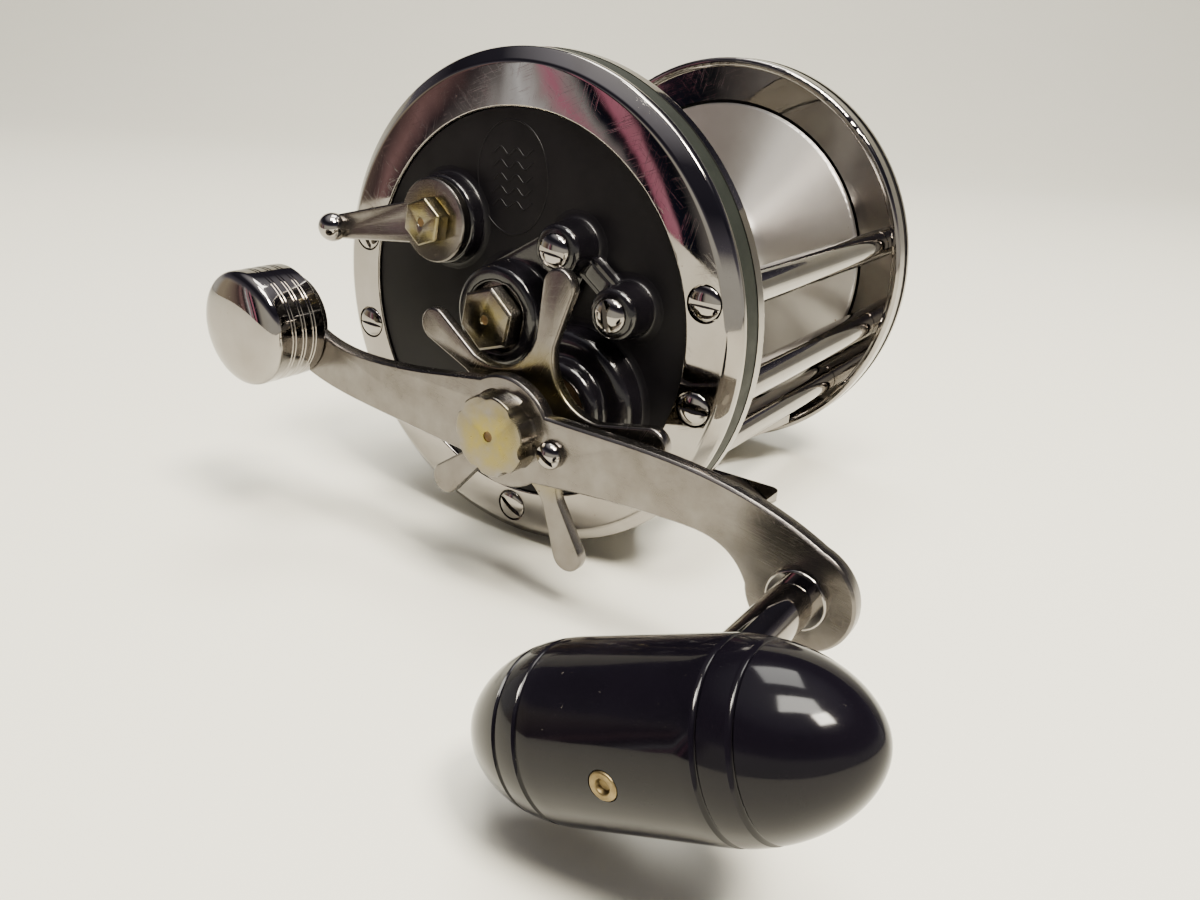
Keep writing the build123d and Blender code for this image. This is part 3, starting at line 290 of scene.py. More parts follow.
def satin_chrome(name, turn_degrees, seed, stain_place=None, stain_reach=10.0):
    """Chrome plate over a brushed face: fine lines one way, haze, and old oil dried yellow-brown."""
    material, tree, place = start_material(name)
    brushing = streaks(tree, place, turn_degrees, 9.0, 0.16, seed)
    clouds = cloud(tree, place, 6.0, seed + 1, 5.0)
    hairlines = greatest(tree, scratches(tree, place, turn_degrees + 35, seed + 2),
                         scratches(tree, place, turn_degrees - 50, seed + 3))
    specks = spots(tree, place, 1.1, 0.02, seed + 4)
    colour = blend(tree, between(tree, clouds, 0.3, 0.75), "#787471", "#67625D")
    if stain_place:
        near = between(tree, radius_from(tree, place, *stain_place), stain_reach, stain_reach * 0.35)
        stain = arithmetic(tree, "MULTIPLY", near, between(tree, clouds, 0.3, 0.6))
        colour = blend(tree, stain, colour, "#857A42")
    colour = blend(tree, specks, colour, "#5B4127")
    brushed = total(tree, between(tree, clouds, 0.3, 0.7, 0.14, 0.22), brushing, 0.12)
    roughness = total(tree, brushed, specks, 0.3)
    normal = relief(tree, hairlines, -0.006, relief(tree, brushing, 0.012))
    close_material(tree, {"Metallic": 1.0}, {"Base Color": colour, "Roughness": roughness, "Normal": normal})
    return material


def turned_spool_metal(name):
    """Plated brass left from the lathe: fine rings round the axis that spread light into a bow tie."""
    material, tree, place = start_material(name)
    radius = radius_from(tree, place, spool_y, spool_z)
    rings = add_node(tree, "ShaderNodeTexNoise", {"Scale": 1 / 0.35, "Detail": 3.0}, {"W": radius},
                     noise_dimensions="1D").outputs["Fac"]
    clouds = cloud(tree, place, 18.0, 21, 3.0)
    rust = spots(tree, place, 1.6, 0.0, 22)
    plate = blend(tree, between(tree, clouds, 0.3, 0.8), "#C6C3C0", "#B4AFAB")
    colour = blend(tree, rust, plate, "#7A5636")
    roughness = total(tree, between(tree, clouds, 0.3, 0.7, 0.38, 0.44), rings, 0.06)
    tangent = add_node(tree, "ShaderNodeTangent", direction_type="RADIAL", axis="X").outputs["Tangent"]
    close_material(tree, {"Metallic": 1.0, "Anisotropic": 0.9, "Anisotropic Rotation": 0.25},
                   {"Base Color": colour, "Roughness": roughness, "Tangent": tangent,
                    "Normal": relief(tree, rings, 0.004)})
    return material


def plain_metal(name, colour_hex, dull_hex, roughness, seed, tarnish="#4A3A28"):
    """Machined or drawn metal with light tarnish in patches."""
    material, tree, place = start_material(name)
    clouds = cloud(tree, place, 3.0, seed, 5.0)
    grain = cloud(tree, place, 0.3, seed + 1)
    spread = blend(tree, between(tree, clouds, 0.35, 0.7), colour_hex, dull_hex)
    colour = blend(tree, spots(tree, place, 1.0, 0.1, seed + 2), spread, tarnish)
    rough = total(tree, between(tree, clouds, 0.3, 0.7, roughness, roughness + 0.15), grain, 0.1)
    close_material(tree, {"Metallic": 1.0},
                   {"Base Color": colour, "Roughness": rough, "Normal": relief(tree, grain, 0.01)})
    return material


# ------------------------------------------------------------------ resins and grime
def moulded_phenolic(name):
    """Black phenolic resin from a mould: a dull, dusty flat, and housings that hands have polished."""
    material, tree, place = start_material(name)
    across = add_node(tree, "ShaderNodeSeparateXYZ", links={"Vector": place}).outputs["X"]
    plate_level = high("handle_ring_outer", "x") - 0.8
    raised = between(tree, across, plate_level + 0.2, plate_level + 1.2)
    clouds = cloud(tree, place, 8.0, 31, 5.0)
    dust = spots(tree, place, 0.35, 0.02, 32)
    grain = cloud(tree, place, 0.5, 33)
    resin = blend(tree, between(tree, clouds, 0.3, 0.75), "#09080B", "#100E12")
    colour = blend(tree, dust, resin, "#3E3C3A")
    flat = total(tree, between(tree, clouds, 0.3, 0.7, 0.34, 0.46), dust, 0.3)
    glossy = between(tree, clouds, 0.3, 0.7, 0.1, 0.17)
    rough_mix = add_node(tree, "ShaderNodeMix", links={"Factor": raised, "A": flat, "B": glossy})
    shine = add_node(tree, "ShaderNodeMix", {"A": 0.12, "B": 0.5}, {"Factor": raised}).outputs["Result"]
    close_material(tree, {"IOR": 1.55},
                   {"Base Color": colour, "Roughness": rough_mix.outputs["Result"],
                    "Specular IOR Level": shine, "Normal": relief(tree, grain, 0.012)})
    return material


def worn_edge(name):
    """The turned edge of the phenolic plate: dull, dark green-black, with faint turning lines."""
    material, tree, place = start_material(name)
    clouds = cloud(tree, place, 5.0, 36, 4.0)
    lines = streaks(tree, place, 0, 12.0, 0.3, 37)
    colour = blend(tree, clouds, "#121512", "#1C201B")
    roughness = total(tree, between(tree, clouds, 0.3, 0.7, 0.45, 0.6), lines, 0.1)
    close_material(tree, {"IOR": 1.5, "Specular IOR Level": 0.2},
                   {"Base Color": colour, "Roughness": roughness, "Normal": relief(tree, lines, 0.01)})
    return material


def polished_black_resin(name):
    """Tumbled and polished black plastic: deep gloss with hairlines, nicks and a greasy haze, and a faint
    purple cast painted into the black as a reflection.
    """
    material, tree, place = start_material(name)
    hairlines = greatest(tree, scratches(tree, place, 10, 41), scratches(tree, place, 100, 42))
    haze = cloud(tree, place, 11.0, 43, 4.0)
    nicks = spots(tree, place, 1.0, 0.0, 44)
    # both blacks carry a faint purple cast, a painted reflection of a purple sheen; the random haze clouds
    # between them are the resin's own tone
    colour = blend(tree, nicks, blend(tree, haze, "#08070B", "#0E0B12"), "#4B463F")
    worn = total(tree, between(tree, haze, 0.3, 0.75, 0.06, 0.14), hairlines, 0.2)
    roughness = total(tree, worn, nicks, 0.3)
    normal = relief(tree, nicks, -0.05, relief(tree, cloud(tree, place, 9.0, 45, 1.0), 0.05))
    close_material(tree, {"IOR": 1.5, "Specular IOR Level": 0.22},
                   {"Base Color": colour, "Roughness": roughness, "Normal": normal})
    return material


def friction_fibre(name):
    """Woven and pressed friction cloth, brown and open-grained."""
    material, tree, place = start_material(name)
    weave = cloud(tree, place, 0.6, 51)
    colour = blend(tree, weave, "#3A2718", "#6A4A30")
    close_material(tree, {"Roughness": 0.85, "IOR": 1.5},
                   {"Base Color": colour, "Normal": relief(tree, weave, 0.08)})
    return material


def dried_oil(name):
    """Old oil and dust dried to a brown crust."""
    material, tree, place = start_material(name)
    crust = cloud(tree, place, 0.7, 61, 5.0)
    colour = blend(tree, crust, "#3B2A16", "#8A6A3A")
    roughness = between(tree, crust, 0.3, 0.7, 0.45, 0.8)
    close_material(tree, {"IOR": 1.48},
                   {"Base Color": colour, "Roughness": roughness, "Normal": relief(tree, crust, 0.06)})
    return material


def pale_table(name):
    """A plain painted table top, almost even."""
    material, tree, place = start_material(name)
    patches = cloud(tree, place, 160.0, 71)
    colour = blend(tree, patches, "#EFEDDF", "#EBE8D9")
    roughness = between(tree, patches, 0.3, 0.7, 0.45, 0.55)
    close_material(tree, {"IOR": 1.45}, {"Base Color": colour, "Roughness": roughness})
    return material


bright_chrome = chrome_plated_brass("bright_chrome_plate")
crank_chrome = satin_chrome("satin_chrome_crank", -11, 81)
nut_chrome = satin_chrome("satin_chrome_oiled_nut", 40, 91, (drive_y, drive_z), 11.0)
star_chrome = satin_chrome("satin_chrome_star", 60, 101, (drive_y, drive_z), 20.0)
lever_chrome = satin_chrome("satin_chrome_lever", 10, 111, (lever_y, lever_z), 9.0)
cap_chrome = satin_chrome("chrome_cap_oily", 30, 121, (spool_y, spool_z), 8.0)
spool_metal = turned_spool_metal("turned_spool_plate")
steel = plain_metal("stainless_steel", "#A9A8A6", "#83807C", 0.3, 131)
bronze = plain_metal("gear_bronze", "#B98B4E", "#8E6736", 0.28, 141)
aged_brass = plain_metal("aged_brass", "#8A7A58", "#5A4C32", 0.35, 151)
oiled_bronze = plain_metal("oiled_bronze", "#4A3B28", "#241C14", 0.4, 161, "#17120D")
phenolic = moulded_phenolic("black_phenolic")
rim_phenolic = worn_edge("phenolic_plate_edge")
grip_resin = polished_black_resin("black_grip_resin")
fibre = friction_fibre("drag_fibre")
oil_crust = dried_oil("dried_oil")

finishes = {
    bright_chrome: ["handle_ring_outer", "handle_ring_inner", "tail_ring_inner", "tail_ring_outer", "pillars",
                    "stand_saddle", "rod_foot", "handle_ring_screws", "tail_ring_screws", "bridge_screws",
                    "nut_lock_screw", "counterweight", "grip_spindle", "lever_knob", "click_button",
                    "spacer_sleeve"],
    crank_chrome: ["crank_arm"],
    nut_chrome: ["crank_nut"],
    star_chrome: ["star_wheel"],
    lever_chrome: ["lever_arm", "lever_screw"],
    cap_chrome: ["handle_bearing_cap", "tail_bearing_cap"],
    spool_metal: ["spool"],
    steel: ["handle_bearing", "tail_bearing", "spool_shaft", "click_ratchet", "pinion", "drive_sleeve",
            "anti_reverse_ratchet", "metal_drag_washers", "drag_pressure_plate", "drag_spring_washer",
            "eccentric_jack", "yoke_springs", "click_pawl", "click_spring", "ratchet_dog", "dog_stud",
            "dog_spring"],
    bronze: ["main_gear"],
    oiled_bronze: ["housing_bushing"],
    aged_brass: ["bridge", "pinion_yoke", "foot_rivets", "grip_rivet"],
    phenolic: ["handle_side_plate", "tail_side_plate"],
    grip_resin: ["grip"],
    fibre: ["fibre_drag_washers"],
}
for finish, names in finishes.items():
    for name in names:
        for material_slot in nodes[name].material_slots:
            material_slot.material = finish

# ------------------------------------------------------------------ shape tools
def finish_piece(name, mesh, body, material, replaced=(), sharp=35):
    """Makes a mesh in metres a piece of the object, with its finish, and shades it by its edges."""
    piece = bpy.data.objects.new(name, mesh)
    bpy.context.scene.collection.objects.link(piece)
    mesh.materials.clear()
    mesh.materials.append(material)
    mesh.polygons.foreach_set("material_index", [0] * len(mesh.polygons))
    mesh.polygons.foreach_set("use_smooth", [True] * len(mesh.polygons))
    mesh.set_sharp_from_angle(angle=radians(sharp))
    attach(piece, body)
    if replaced:
        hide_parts(*replaced)
    return piece


def to_mesh(name, shape):
    """A plain mesh in metres from a bmesh made in millimetres, with its faces outwards."""
    bmesh.ops.remove_doubles(shape, verts=shape.verts, dist=1e-5)
    bmesh.ops.recalc_face_normals(shape, faces=shape.faces)
    bmesh.ops.scale(shape, vec=(MM, MM, MM), verts=shape.verts)
    mesh = bpy.data.meshes.new(name)
    shape.to_mesh(mesh)
    shape.free()
    return mesh


def modified(mesh, *modifiers):
    """The mesh after some modifiers; each is (type, {setting: value})."""
    holder = bpy.data.objects.new(mesh.name, mesh)
    bpy.context.scene.collection.objects.link(holder)
    for kind, settings in modifiers:
        modifier = holder.modifiers.new(kind.lower(), kind)
        for setting, value in settings.items():
            setattr(modifier, setting, value)
    graph = bpy.context.evaluated_depsgraph_get()
    result = bpy.data.meshes.new_from_object(holder.evaluated_get(graph))
    bpy.data.objects.remove(holder)
    return result


def cut_away(mesh, shape):
    """The mesh with another solid, a bmesh in millimetres, cut out of it."""
    cutter = bpy.data.objects.new("cutter", to_mesh("cutter", shape))
    bpy.context.scene.collection.objects.link(cutter)
    result = modified(mesh, ("BOOLEAN", {"operation": "DIFFERENCE", "object": cutter, "solver": "EXACT"}))
    bpy.data.objects.remove(cutter)
    return result


def rounded(corners, steps=6):
    """An outline through (x, y, rounding radius) corners, with an arc at each rounded one."""
    outline = []
    for i, (x, y, radius) in enumerate(corners):
        here = Vector((x, y))
        if radius == 0:
            outline.append((x, y))
            continue
        before = (Vector(corners[i - 1][:2]) - here).normalized()
        after = (Vector(corners[(i + 1) % len(corners)][:2]) - here).normalized()
        half = before.angle(after) / 2
        centre = here + (before + after).normalized() * radius / sin(half)
        start = here + before * radius / tan(half) - centre
        end = here + after * radius / tan(half) - centre
        for step in range(steps + 1):
            spoke = start.lerp(end, step / steps).normalized() * radius
            outline.append(tuple(centre + spoke))
    return outline


def lathe(shape, profile, centre, closed=False, sides=128):
    """Adds a solid turned round an axis along X; its (x, radius) profile is open or a closed ring."""
    turns = [2 * pi * i / sides for i in range(sides)]
    rows = []
    for x, radius in profile:
        around = turns if radius > 1e-6 else [0.0]
        rows.append([shape.verts.new((x, centre[0] + radius * cos(a), centre[1] + radius * sin(a)))
                     for a in around])
    following_rows = rows[1:] + rows[:1] if closed else rows[1:]
    for row, following in zip(rows, following_rows):
        for i in range(sides):
            corners = [row[i % len(row)], row[(i + 1) % len(row)],
                       following[(i + 1) % len(following)], following[i % len(following)]]
            shape.faces.new(list(dict.fromkeys(corners)))
    return shape


def eased_copy(node, width, segments=3):
    """A CAD piece with its loose triangles merged and its sharp edges rounded, as polishing leaves them."""
    shape = bmesh.new()
    shape.from_mesh(nodes[node].data)
    bmesh.ops.remove_doubles(shape, verts=shape.verts, dist=1e-6)
    bmesh.ops.dissolve_limit(shape, angle_limit=radians(0.5), verts=shape.verts, edges=shape.edges)
    mesh = bpy.data.meshes.new(node + "_eased")
    shape.to_mesh(mesh)
    shape.free()
    return modified(mesh, ("BEVEL", {"width": width * MM, "segments": segments, "limit_method": "ANGLE",
                                     "angle_limit": radians(28), "use_clamp_overlap": True}))


# ------------------------------------------------------------------ Geometry Nodes
def geometry_tree(name, inputs):
    """A Geometry Nodes tree with these named inputs: {name: (socket type, default)}."""
    tree = bpy.data.node_groups.new(name, "GeometryNodeTree")
    tree.interface.new_socket("Geometry", in_out="INPUT", socket_type="NodeSocketGeometry")
    for label, (kind, default) in inputs.items():
        socket = tree.interface.new_socket(label, in_out="INPUT", socket_type=kind)
        if default is not None:
            socket.default_value = default
    tree.interface.new_socket("Geometry", in_out="OUTPUT", socket_type="NodeSocketGeometry")
    return tree, add_node(tree, "NodeGroupInput").outputs


def grown(name, base, tree, values):
    """The plain mesh that a Geometry Nodes tree makes on a base mesh."""
    holder = bpy.data.objects.new(name, base)
    bpy.context.scene.collection.objects.link(holder)
    modifier = holder.modifiers.new("grow", "NODES")
    modifier.node_group = tree
    for item in tree.interface.items_tree:
        if item.name in values and item.in_out == "INPUT":
            modifier[item.identifier] = values[item.name]
    graph = bpy.context.evaluated_depsgraph_get()
    result = bpy.data.meshes.new_from_object(holder.evaluated_get(graph))
    holder.modifiers.clear()
    bpy.data.objects.remove(holder)
    return result


def joined_xyz(tree, x, y, z):
    """A vector from three values or sockets."""
    settings, links = {}, {}
    for axis, value in zip("XYZ", (x, y, z)):
        if isinstance(value, (int, float)):
            settings[axis] = value
        else:
            links[axis] = value
    return add_node(tree, "ShaderNodeCombineXYZ", settings, links).outputs["Vector"]


def slotted_screw_tree():
    """A domed, slotted screw head on every point, turned about X by the point's own angle."""
    length = "NodeSocketFloat"
    tree, given = geometry_tree("slotted_screws", {
        "Head Radius": (length, 0.004), "Dome Height": (length, 0.001), "Slot Width": (length, 0.001),
        "Slot Depth": (length, 0.0007), "Material": ("NodeSocketMaterial", None)})
    ball = add_node(tree, "GeometryNodeMeshUVSphere", {"Segments": 64, "Rings": 32, "Radius": 1.0})
    size = joined_xyz(tree, given["Head Radius"], given["Head Radius"], given["Dome Height"])
    dome = add_node(tree, "GeometryNodeTransform", {"Rotation": (0, pi / 2, 0)},
                    {"Geometry": ball.outputs["Mesh"], "Scale": size})
    deep = arithmetic(tree, "MULTIPLY", given["Slot Depth"], 2.0)
    long = arithmetic(tree, "MULTIPLY", given["Head Radius"], 3.0)
    cutter = add_node(tree, "GeometryNodeMeshCube",
                      links={"Size": joined_xyz(tree, deep, given["Slot Width"], long)})
    raised = add_node(tree, "GeometryNodeTransform",
                      links={"Geometry": cutter.outputs["Mesh"],
                             "Translation": joined_xyz(tree, given["Dome Height"], 0.0, 0.0)})
    head = add_node(tree, "GeometryNodeMeshBoolean", operation="DIFFERENCE", solver="EXACT",
                    links={"Mesh 1": dome.outputs["Geometry"], "Mesh 2": raised.outputs["Geometry"]})
    turn = add_node(tree, "GeometryNodeInputNamedAttribute", {"Name": "turn"}, data_type="FLOAT")
    placed = add_node(tree, "GeometryNodeInstanceOnPoints",
                      links={"Points": given["Geometry"], "Instance": head.outputs["Mesh"],
                             "Rotation": joined_xyz(tree, turn.outputs["Attribute"], 0.0, 0.0)})
    real = add_node(tree, "GeometryNodeRealizeInstances", links={"Geometry": placed.outputs["Instances"]})
    dressed = add_node(tree, "GeometryNodeSetMaterial",
                       links={"Geometry": real.outputs["Geometry"], "Material": given["Material"]})
    add_node(tree, "NodeGroupOutput", links={"Geometry": dressed.outputs["Geometry"]})
    return tree


def wave_tree():
    """Raised wave lines, one above another, inside a raised oval line."""
    length = "NodeSocketFloat"
    tree, given = geometry_tree("wave_medallion", {
        "Waves": ("NodeSocketInt", 5), "Spacing": (length, 0.003), "Half Width": (length, 0.006),
        "Swell": (length, 0.0008), "Line Radius": (length, 0.0002), "Oval Width": (length, 0.0105),
        "Oval Height": (length, 0.013), "Material": ("NodeSocketMaterial", None)})
    backwards = arithmetic(tree, "MULTIPLY", given["Half Width"], -1.0)
    line = add_node(tree, "GeometryNodeCurvePrimitiveLine",
                    links={"Start": joined_xyz(tree, 0.0, backwards, 0.0),
                           "End": joined_xyz(tree, 0.0, given["Half Width"], 0.0)})
    fine = add_node(tree, "GeometryNodeResampleCurve", {"Count": 72}, {"Curve": line.outputs["Curve"]})
    position = add_node(tree, "GeometryNodeInputPosition").outputs["Position"]
    along = add_node(tree, "ShaderNodeSeparateXYZ", links={"Vector": position}).outputs["Y"]
    share = arithmetic(tree, "DIVIDE", along, given["Half Width"])
    phase = arithmetic(tree, "MULTIPLY", share, 2.5 * pi)
    rise = arithmetic(tree, "MULTIPLY", arithmetic(tree, "SINE", phase), given["Swell"])
    wave = add_node(tree, "GeometryNodeSetPosition",
                    links={"Geometry": fine.outputs["Curve"],
                           "Offset": joined_xyz(tree, 0.0, 0.0, rise)})
    rows = add_node(tree, "GeometryNodeMeshLine",
                    links={"Count": given["Waves"], "Offset": joined_xyz(tree, 0.0, 0.0, given["Spacing"])})
    spread = arithmetic(tree, "MULTIPLY", arithmetic(tree, "SUBTRACT", given["Waves"], 1.0), given["Spacing"])
    drop = arithmetic(tree, "MULTIPLY", spread, -0.5)
    centred = add_node(tree, "GeometryNodeTransform",
                       links={"Geometry": rows.outputs["Mesh"],
                              "Translation": joined_xyz(tree, 0.0, 0.0, drop)})
    stacked = add_node(tree, "GeometryNodeInstanceOnPoints",
                       links={"Points": centred.outputs["Geometry"], "Instance": wave.outputs["Geometry"]})
    lines = add_node(tree, "GeometryNodeRealizeInstances", links={"Geometry": stacked.outputs["Instances"]})
    circle = add_node(tree, "GeometryNodeCurvePrimitiveCircle", {"Resolution": 96, "Radius": 1.0},
                      mode="RADIUS")
    oval = add_node(tree, "GeometryNodeTransform", {"Rotation": (pi / 2, 0, pi / 2)},
                    {"Geometry": circle.outputs["Curve"],
                     "Scale": joined_xyz(tree, given["Oval Width"], given["Oval Height"], 1.0)})
    both = add_node(tree, "GeometryNodeJoinGeometry")
    for part in (lines.outputs["Geometry"], oval.outputs["Geometry"]):
        tree.links.new(part, both.inputs["Geometry"])
    bead = add_node(tree, "GeometryNodeCurvePrimitiveCircle", {"Resolution": 10},
                    {"Radius": given["Line Radius"]}, mode="RADIUS")
    solid = add_node(tree, "GeometryNodeCurveToMesh", {"Fill Caps": True},
                     {"Curve": both.outputs["Geometry"], "Profile Curve": bead.outputs["Curve"]})
    placed = add_node(tree, "GeometryNodeInstanceOnPoints",
                      links={"Points": given["Geometry"], "Instance": solid.outputs["Mesh"]})
    real = add_node(tree, "GeometryNodeRealizeInstances", links={"Geometry": placed.outputs["Instances"]})
    dressed = add_node(tree, "GeometryNodeSetMaterial",
                       links={"Geometry": real.outputs["Geometry"], "Material": given["Material"]})
    add_node(tree, "NodeGroupOutput", links={"Geometry": dressed.outputs["Geometry"]})
    return tree


def points_mesh(name, places, turns=None):
    """A mesh of loose points in metres, each with its own turn in radians."""
    mesh = bpy.data.meshes.new(name)
    mesh.from_pydata([tuple(c * MM for c in place) for place in places], [], [])
    if turns:
        mesh.attributes.new("turn", "FLOAT", "POINT").data.foreach_set("value", [radians(t) for t in turns])
    return mesh


# ------------------------------------------------------------------ screws
fastener_radius = 52.1
fastener_angles = [12.5, -14.0, -38.0, 167.5, -166.0, -142.0, -90.0]
fastener_places = [(spool_y + fastener_radius * cos(radians(a)), spool_z + fastener_radius * sin(radians(a)))
                   for a in fastener_angles]
screw_tree = slotted_screw_tree()


def screw_heads(name, level, places, turns, radius, dome, slot_width, replaced, body="frame", behind=False):
    """Slotted heads on a plane of one level; behind makes them face -X."""
    base = points_mesh(name, [(level, y, z) for y, z in places], turns)
    mesh = grown(name, base, screw_tree, {
        "Head Radius": radius * MM, "Dome Height": dome * MM, "Slot Width": slot_width * MM,
        "Slot Depth": 1.0 * MM, "Material": bright_chrome})
    if behind:
        mesh.transform(Matrix.Rotation(pi, 4, "Z"))
    return finish_piece(name, mesh, body, bright_chrome, [replaced])


def centre_of(node, axis):
    return (low(node, axis) + high(node, axis)) / 2


screw_heads("handle_ring_screw_heads", high("handle_ring_outer", "x") - 0.35, fastener_places,
            [88, 88, 80, 20, 86, 60, 58], 3.95, 1.3, 1.25, "handle_ring_screws")
tail_turns = [15, 50, 95, 130, 70, 5, 40]
screw_heads("tail_ring_screw_heads", -low("tail_ring_outer", "x") - 0.35,
            [(-y, z) for y, z in fastener_places], tail_turns, 3.95, 1.2, 1.0,
            "tail_ring_screws", behind=True)
bridge_screw_places = [(16.65, spool_z + 18.2), (32.3, spool_z + 6.6)]
screw_heads("bridge_screw_heads", high("bridge_screws", "x") - 2.1, bridge_screw_places,
            [82, 12], 4.0, 2.1, 1.25, "bridge_screws")
screw_heads("lock_screw_head", high("nut_lock_screw", "x") - 2.2,
            [(centre_of("nut_lock_screw", "y"), centre_of("nut_lock_screw", "z"))], [55], 3.1, 2.2, 1.05,
            "nut_lock_screw", body="crank")

# ------------------------------------------------------------------ crank-side ring and the plate's edge
def ring_shape(corners, sides=256):
    """A ring turned round the spool's axis from an outline of (x, radius, rounding) corners."""
    return lathe(bmesh.new(), rounded(corners, 8), (spool_y, spool_z), closed=True, sides=sides)


ring_face, ring_back, rim_front = high("handle_ring_outer", "x"), 53.9, 53.85
ring_radius, window_radius = 59.97, 47.05
ring_mesh = to_mesh("handle_ring", ring_shape([
    (ring_back, window_radius, 0), (ring_face, window_radius, 0.5), (ring_face, 56.8, 2.0),
    (55.5, ring_radius, 1.2), (ring_back, ring_radius, 0.3)]))
sink_floor, sink_radius = ring_face - 1.9, 4.3
sink_shape = bmesh.new()
for place in fastener_places:
    lathe(sink_shape, [(sink_floor, 0), (sink_floor, sink_radius), (ring_face + 3, sink_radius),
                       (ring_face + 3, 0)], place, sides=64)
finish_piece("handle_ring_polished", cut_away(ring_mesh, sink_shape), "frame", bright_chrome,
             ["handle_ring_outer"])

rim_back, rim_inside, rim_radius = 48.55, 57.5, 59.85
rim_mesh = to_mesh("plate_rim", ring_shape([
    (rim_back, rim_inside, 0), (rim_front, rim_inside, 0), (rim_front, rim_radius, 0.3),
    (rim_back, rim_radius, 0.3)]))
finish_piece("plate_rim_edge", rim_mesh, "frame", rim_phenolic)

# ------------------------------------------------------------------ moulded housings with soft corners
plate_level = high("handle_ring_outer", "x") - 0.8
skin = 0.12                       # how far the finer skin stands outside the CAD plate's housings
root = plate_level - 0.9
boss_face, boss_radius, cap_bore = 66.0, 12.05, 8.6
pinion_room_radius, pinion_room_level = 10.25, 58.7
housing_face, housing_radius, room_radius, room_level = 63.6, 17.6, 15.3, 61.35
collar_face, collar_radius, bushing_bore = 67.6, 11.2, 8.5
lever_face, lever_boss_radius, lever_bore = 61.6, 10.6, 3.2
screw_face, screw_boss_radius = 65.7, 5.8
web_level, bar_level = 59.4, 60.0


def flared(face, radius, corner, foot):
    """The outside of a boss: a rounded top corner, slight draft, and a flare where it meets the plate."""
    corners = [(face + skin, radius + skin, corner), (plate_level + 0.05, radius + foot * 0.35, foot),
               (plate_level + 0.05, radius + foot * 2.2, 0), (root, radius + foot * 2.2, 0)]
    outline = rounded([(face + skin, 0, 0)] + corners, 8)
    return outline[1:]


def prism(shape, low_outline, high_outline, back_level, front_level):
    """Adds a solid between two outlines of (y, z) at two levels."""
    rows = [[shape.verts.new((level, y, z)) for y, z in outline]
            for level, outline in ((back_level, low_outline), (front_level, high_outline))]
    for i in range(len(low_outline)):
        following = (i + 1) % len(low_outline)
        shape.faces.new([rows[0][i], rows[0][following], rows[1][following], rows[1][i]])
    shape.faces.new(rows[0])
    shape.faces.new(rows[1])


housings = bmesh.new()
spool_place, drive_place, lever_place = (spool_y, spool_z), (drive_y, drive_z), (lever_y, lever_z)
lathe(housings, [(root, pinion_room_radius), (pinion_room_level, pinion_room_radius),
                 (pinion_room_level, cap_bore), (boss_face + skin, cap_bore)]
      + flared(boss_face, boss_radius, 1.6, 1.4),
      spool_place, closed=True)
lathe(housings, [(root, room_radius), (room_level, room_radius), (room_level, bushing_bore),
                 (housing_face + skin, bushing_bore)] + flared(housing_face, housing_radius, 2.8, 1.2),
      drive_place, closed=True)
collar_foot = collar_radius + 0.6
lathe(housings, rounded([(room_level, bushing_bore, 0), (collar_face + skin, bushing_bore, 0),
                         (collar_face + skin, collar_radius + skin, 2.2),
                         (housing_face - 0.3, collar_foot, 0), (room_level, collar_foot, 0)], 8),
      drive_place, closed=True)
lathe(housings, [(root, lever_bore), (lever_face + skin, lever_bore)]
      + flared(lever_face, lever_boss_radius, 0.9, 1.0), lever_place, closed=True)
for place in bridge_screw_places:
    lathe(housings, [(screw_face + skin, 0)] + flared(screw_face, screw_boss_radius, 1.6, 1.3) + [(root, 0)],
          place)
(first_y, first_z), (second_y, second_z) = bridge_screw_places
along = Vector((second_y - first_y, second_z - first_z)).normalized()
beside = Vector((-along.y, along.x))
bar_ends = [Vector((first_y, first_z)), Vector((second_y, second_z))]
bar_corners = ((0, -1), (1, -1), (1, 1), (0, 1))
bar_outlines = [[tuple(bar_ends[end] + beside * side * half) for end, side in bar_corners]
                for half in (3.3, 2.0)]
prism(housings, *bar_outlines, root, bar_level + skin)
offset = Vector((first_y - spool_y, first_z - spool_z))
web_radius, web_end_radius, web_inside = boss_radius + 0.9, screw_boss_radius + 0.1, pinion_room_radius + 0.5
lean_angle = acos((web_radius - web_end_radius) / offset.length)
heading_angle = Vector((1, 0)).angle_signed(offset) * -1


def arc(centre, radius, from_angle, to_angle, steps=24):
    """Points along an arc, in (y, z)."""
    turns = [from_angle + (to_angle - from_angle) * i / steps for i in range(steps + 1)]
    return [(centre[0] + radius * cos(a), centre[1] + radius * sin(a)) for a in turns]


web_from, web_to = heading_angle - lean_angle, heading_angle + lean_angle
web_outline = (arc(bridge_screw_places[0], web_end_radius, web_from, web_to)
               + arc(spool_place, web_radius, web_to, web_to + 0.02, 1)
               + arc(spool_place, web_inside, web_to, web_from)
               + arc(spool_place, web_radius, web_from - 0.02, web_from, 1))
prism(housings, web_outline, web_outline, root, web_level + skin)
housing_mesh = modified(to_mesh("housings", housings),
                        ("REMESH", {"mode": "VOXEL", "voxel_size": 0.4 * MM, "use_smooth_shade": True}),
                        ("SMOOTH", {"factor": 0.5, "iterations": 6}))
open_end = collar_face + 3
for place, bore in [
        (spool_place, [(root - 1, 0), (root - 1, pinion_room_radius), (pinion_room_level, pinion_room_radius),
                       (pinion_room_level, cap_bore), (open_end, cap_bore), (open_end, 0)]),
        (drive_place, [(root - 1, 0), (root - 1, room_radius), (room_level, room_radius),
                       (room_level, bushing_bore), (open_end, bushing_bore), (open_end, 0)]),
        (lever_place, [(root - 1, 0), (root - 1, lever_bore), (open_end, lever_bore), (open_end, 0)])]:
    housing_mesh = cut_away(housing_mesh, lathe(bmesh.new(), bore, place, sides=96))
finish_piece("moulded_housings", housing_mesh, "frame", phenolic, sharp=60)

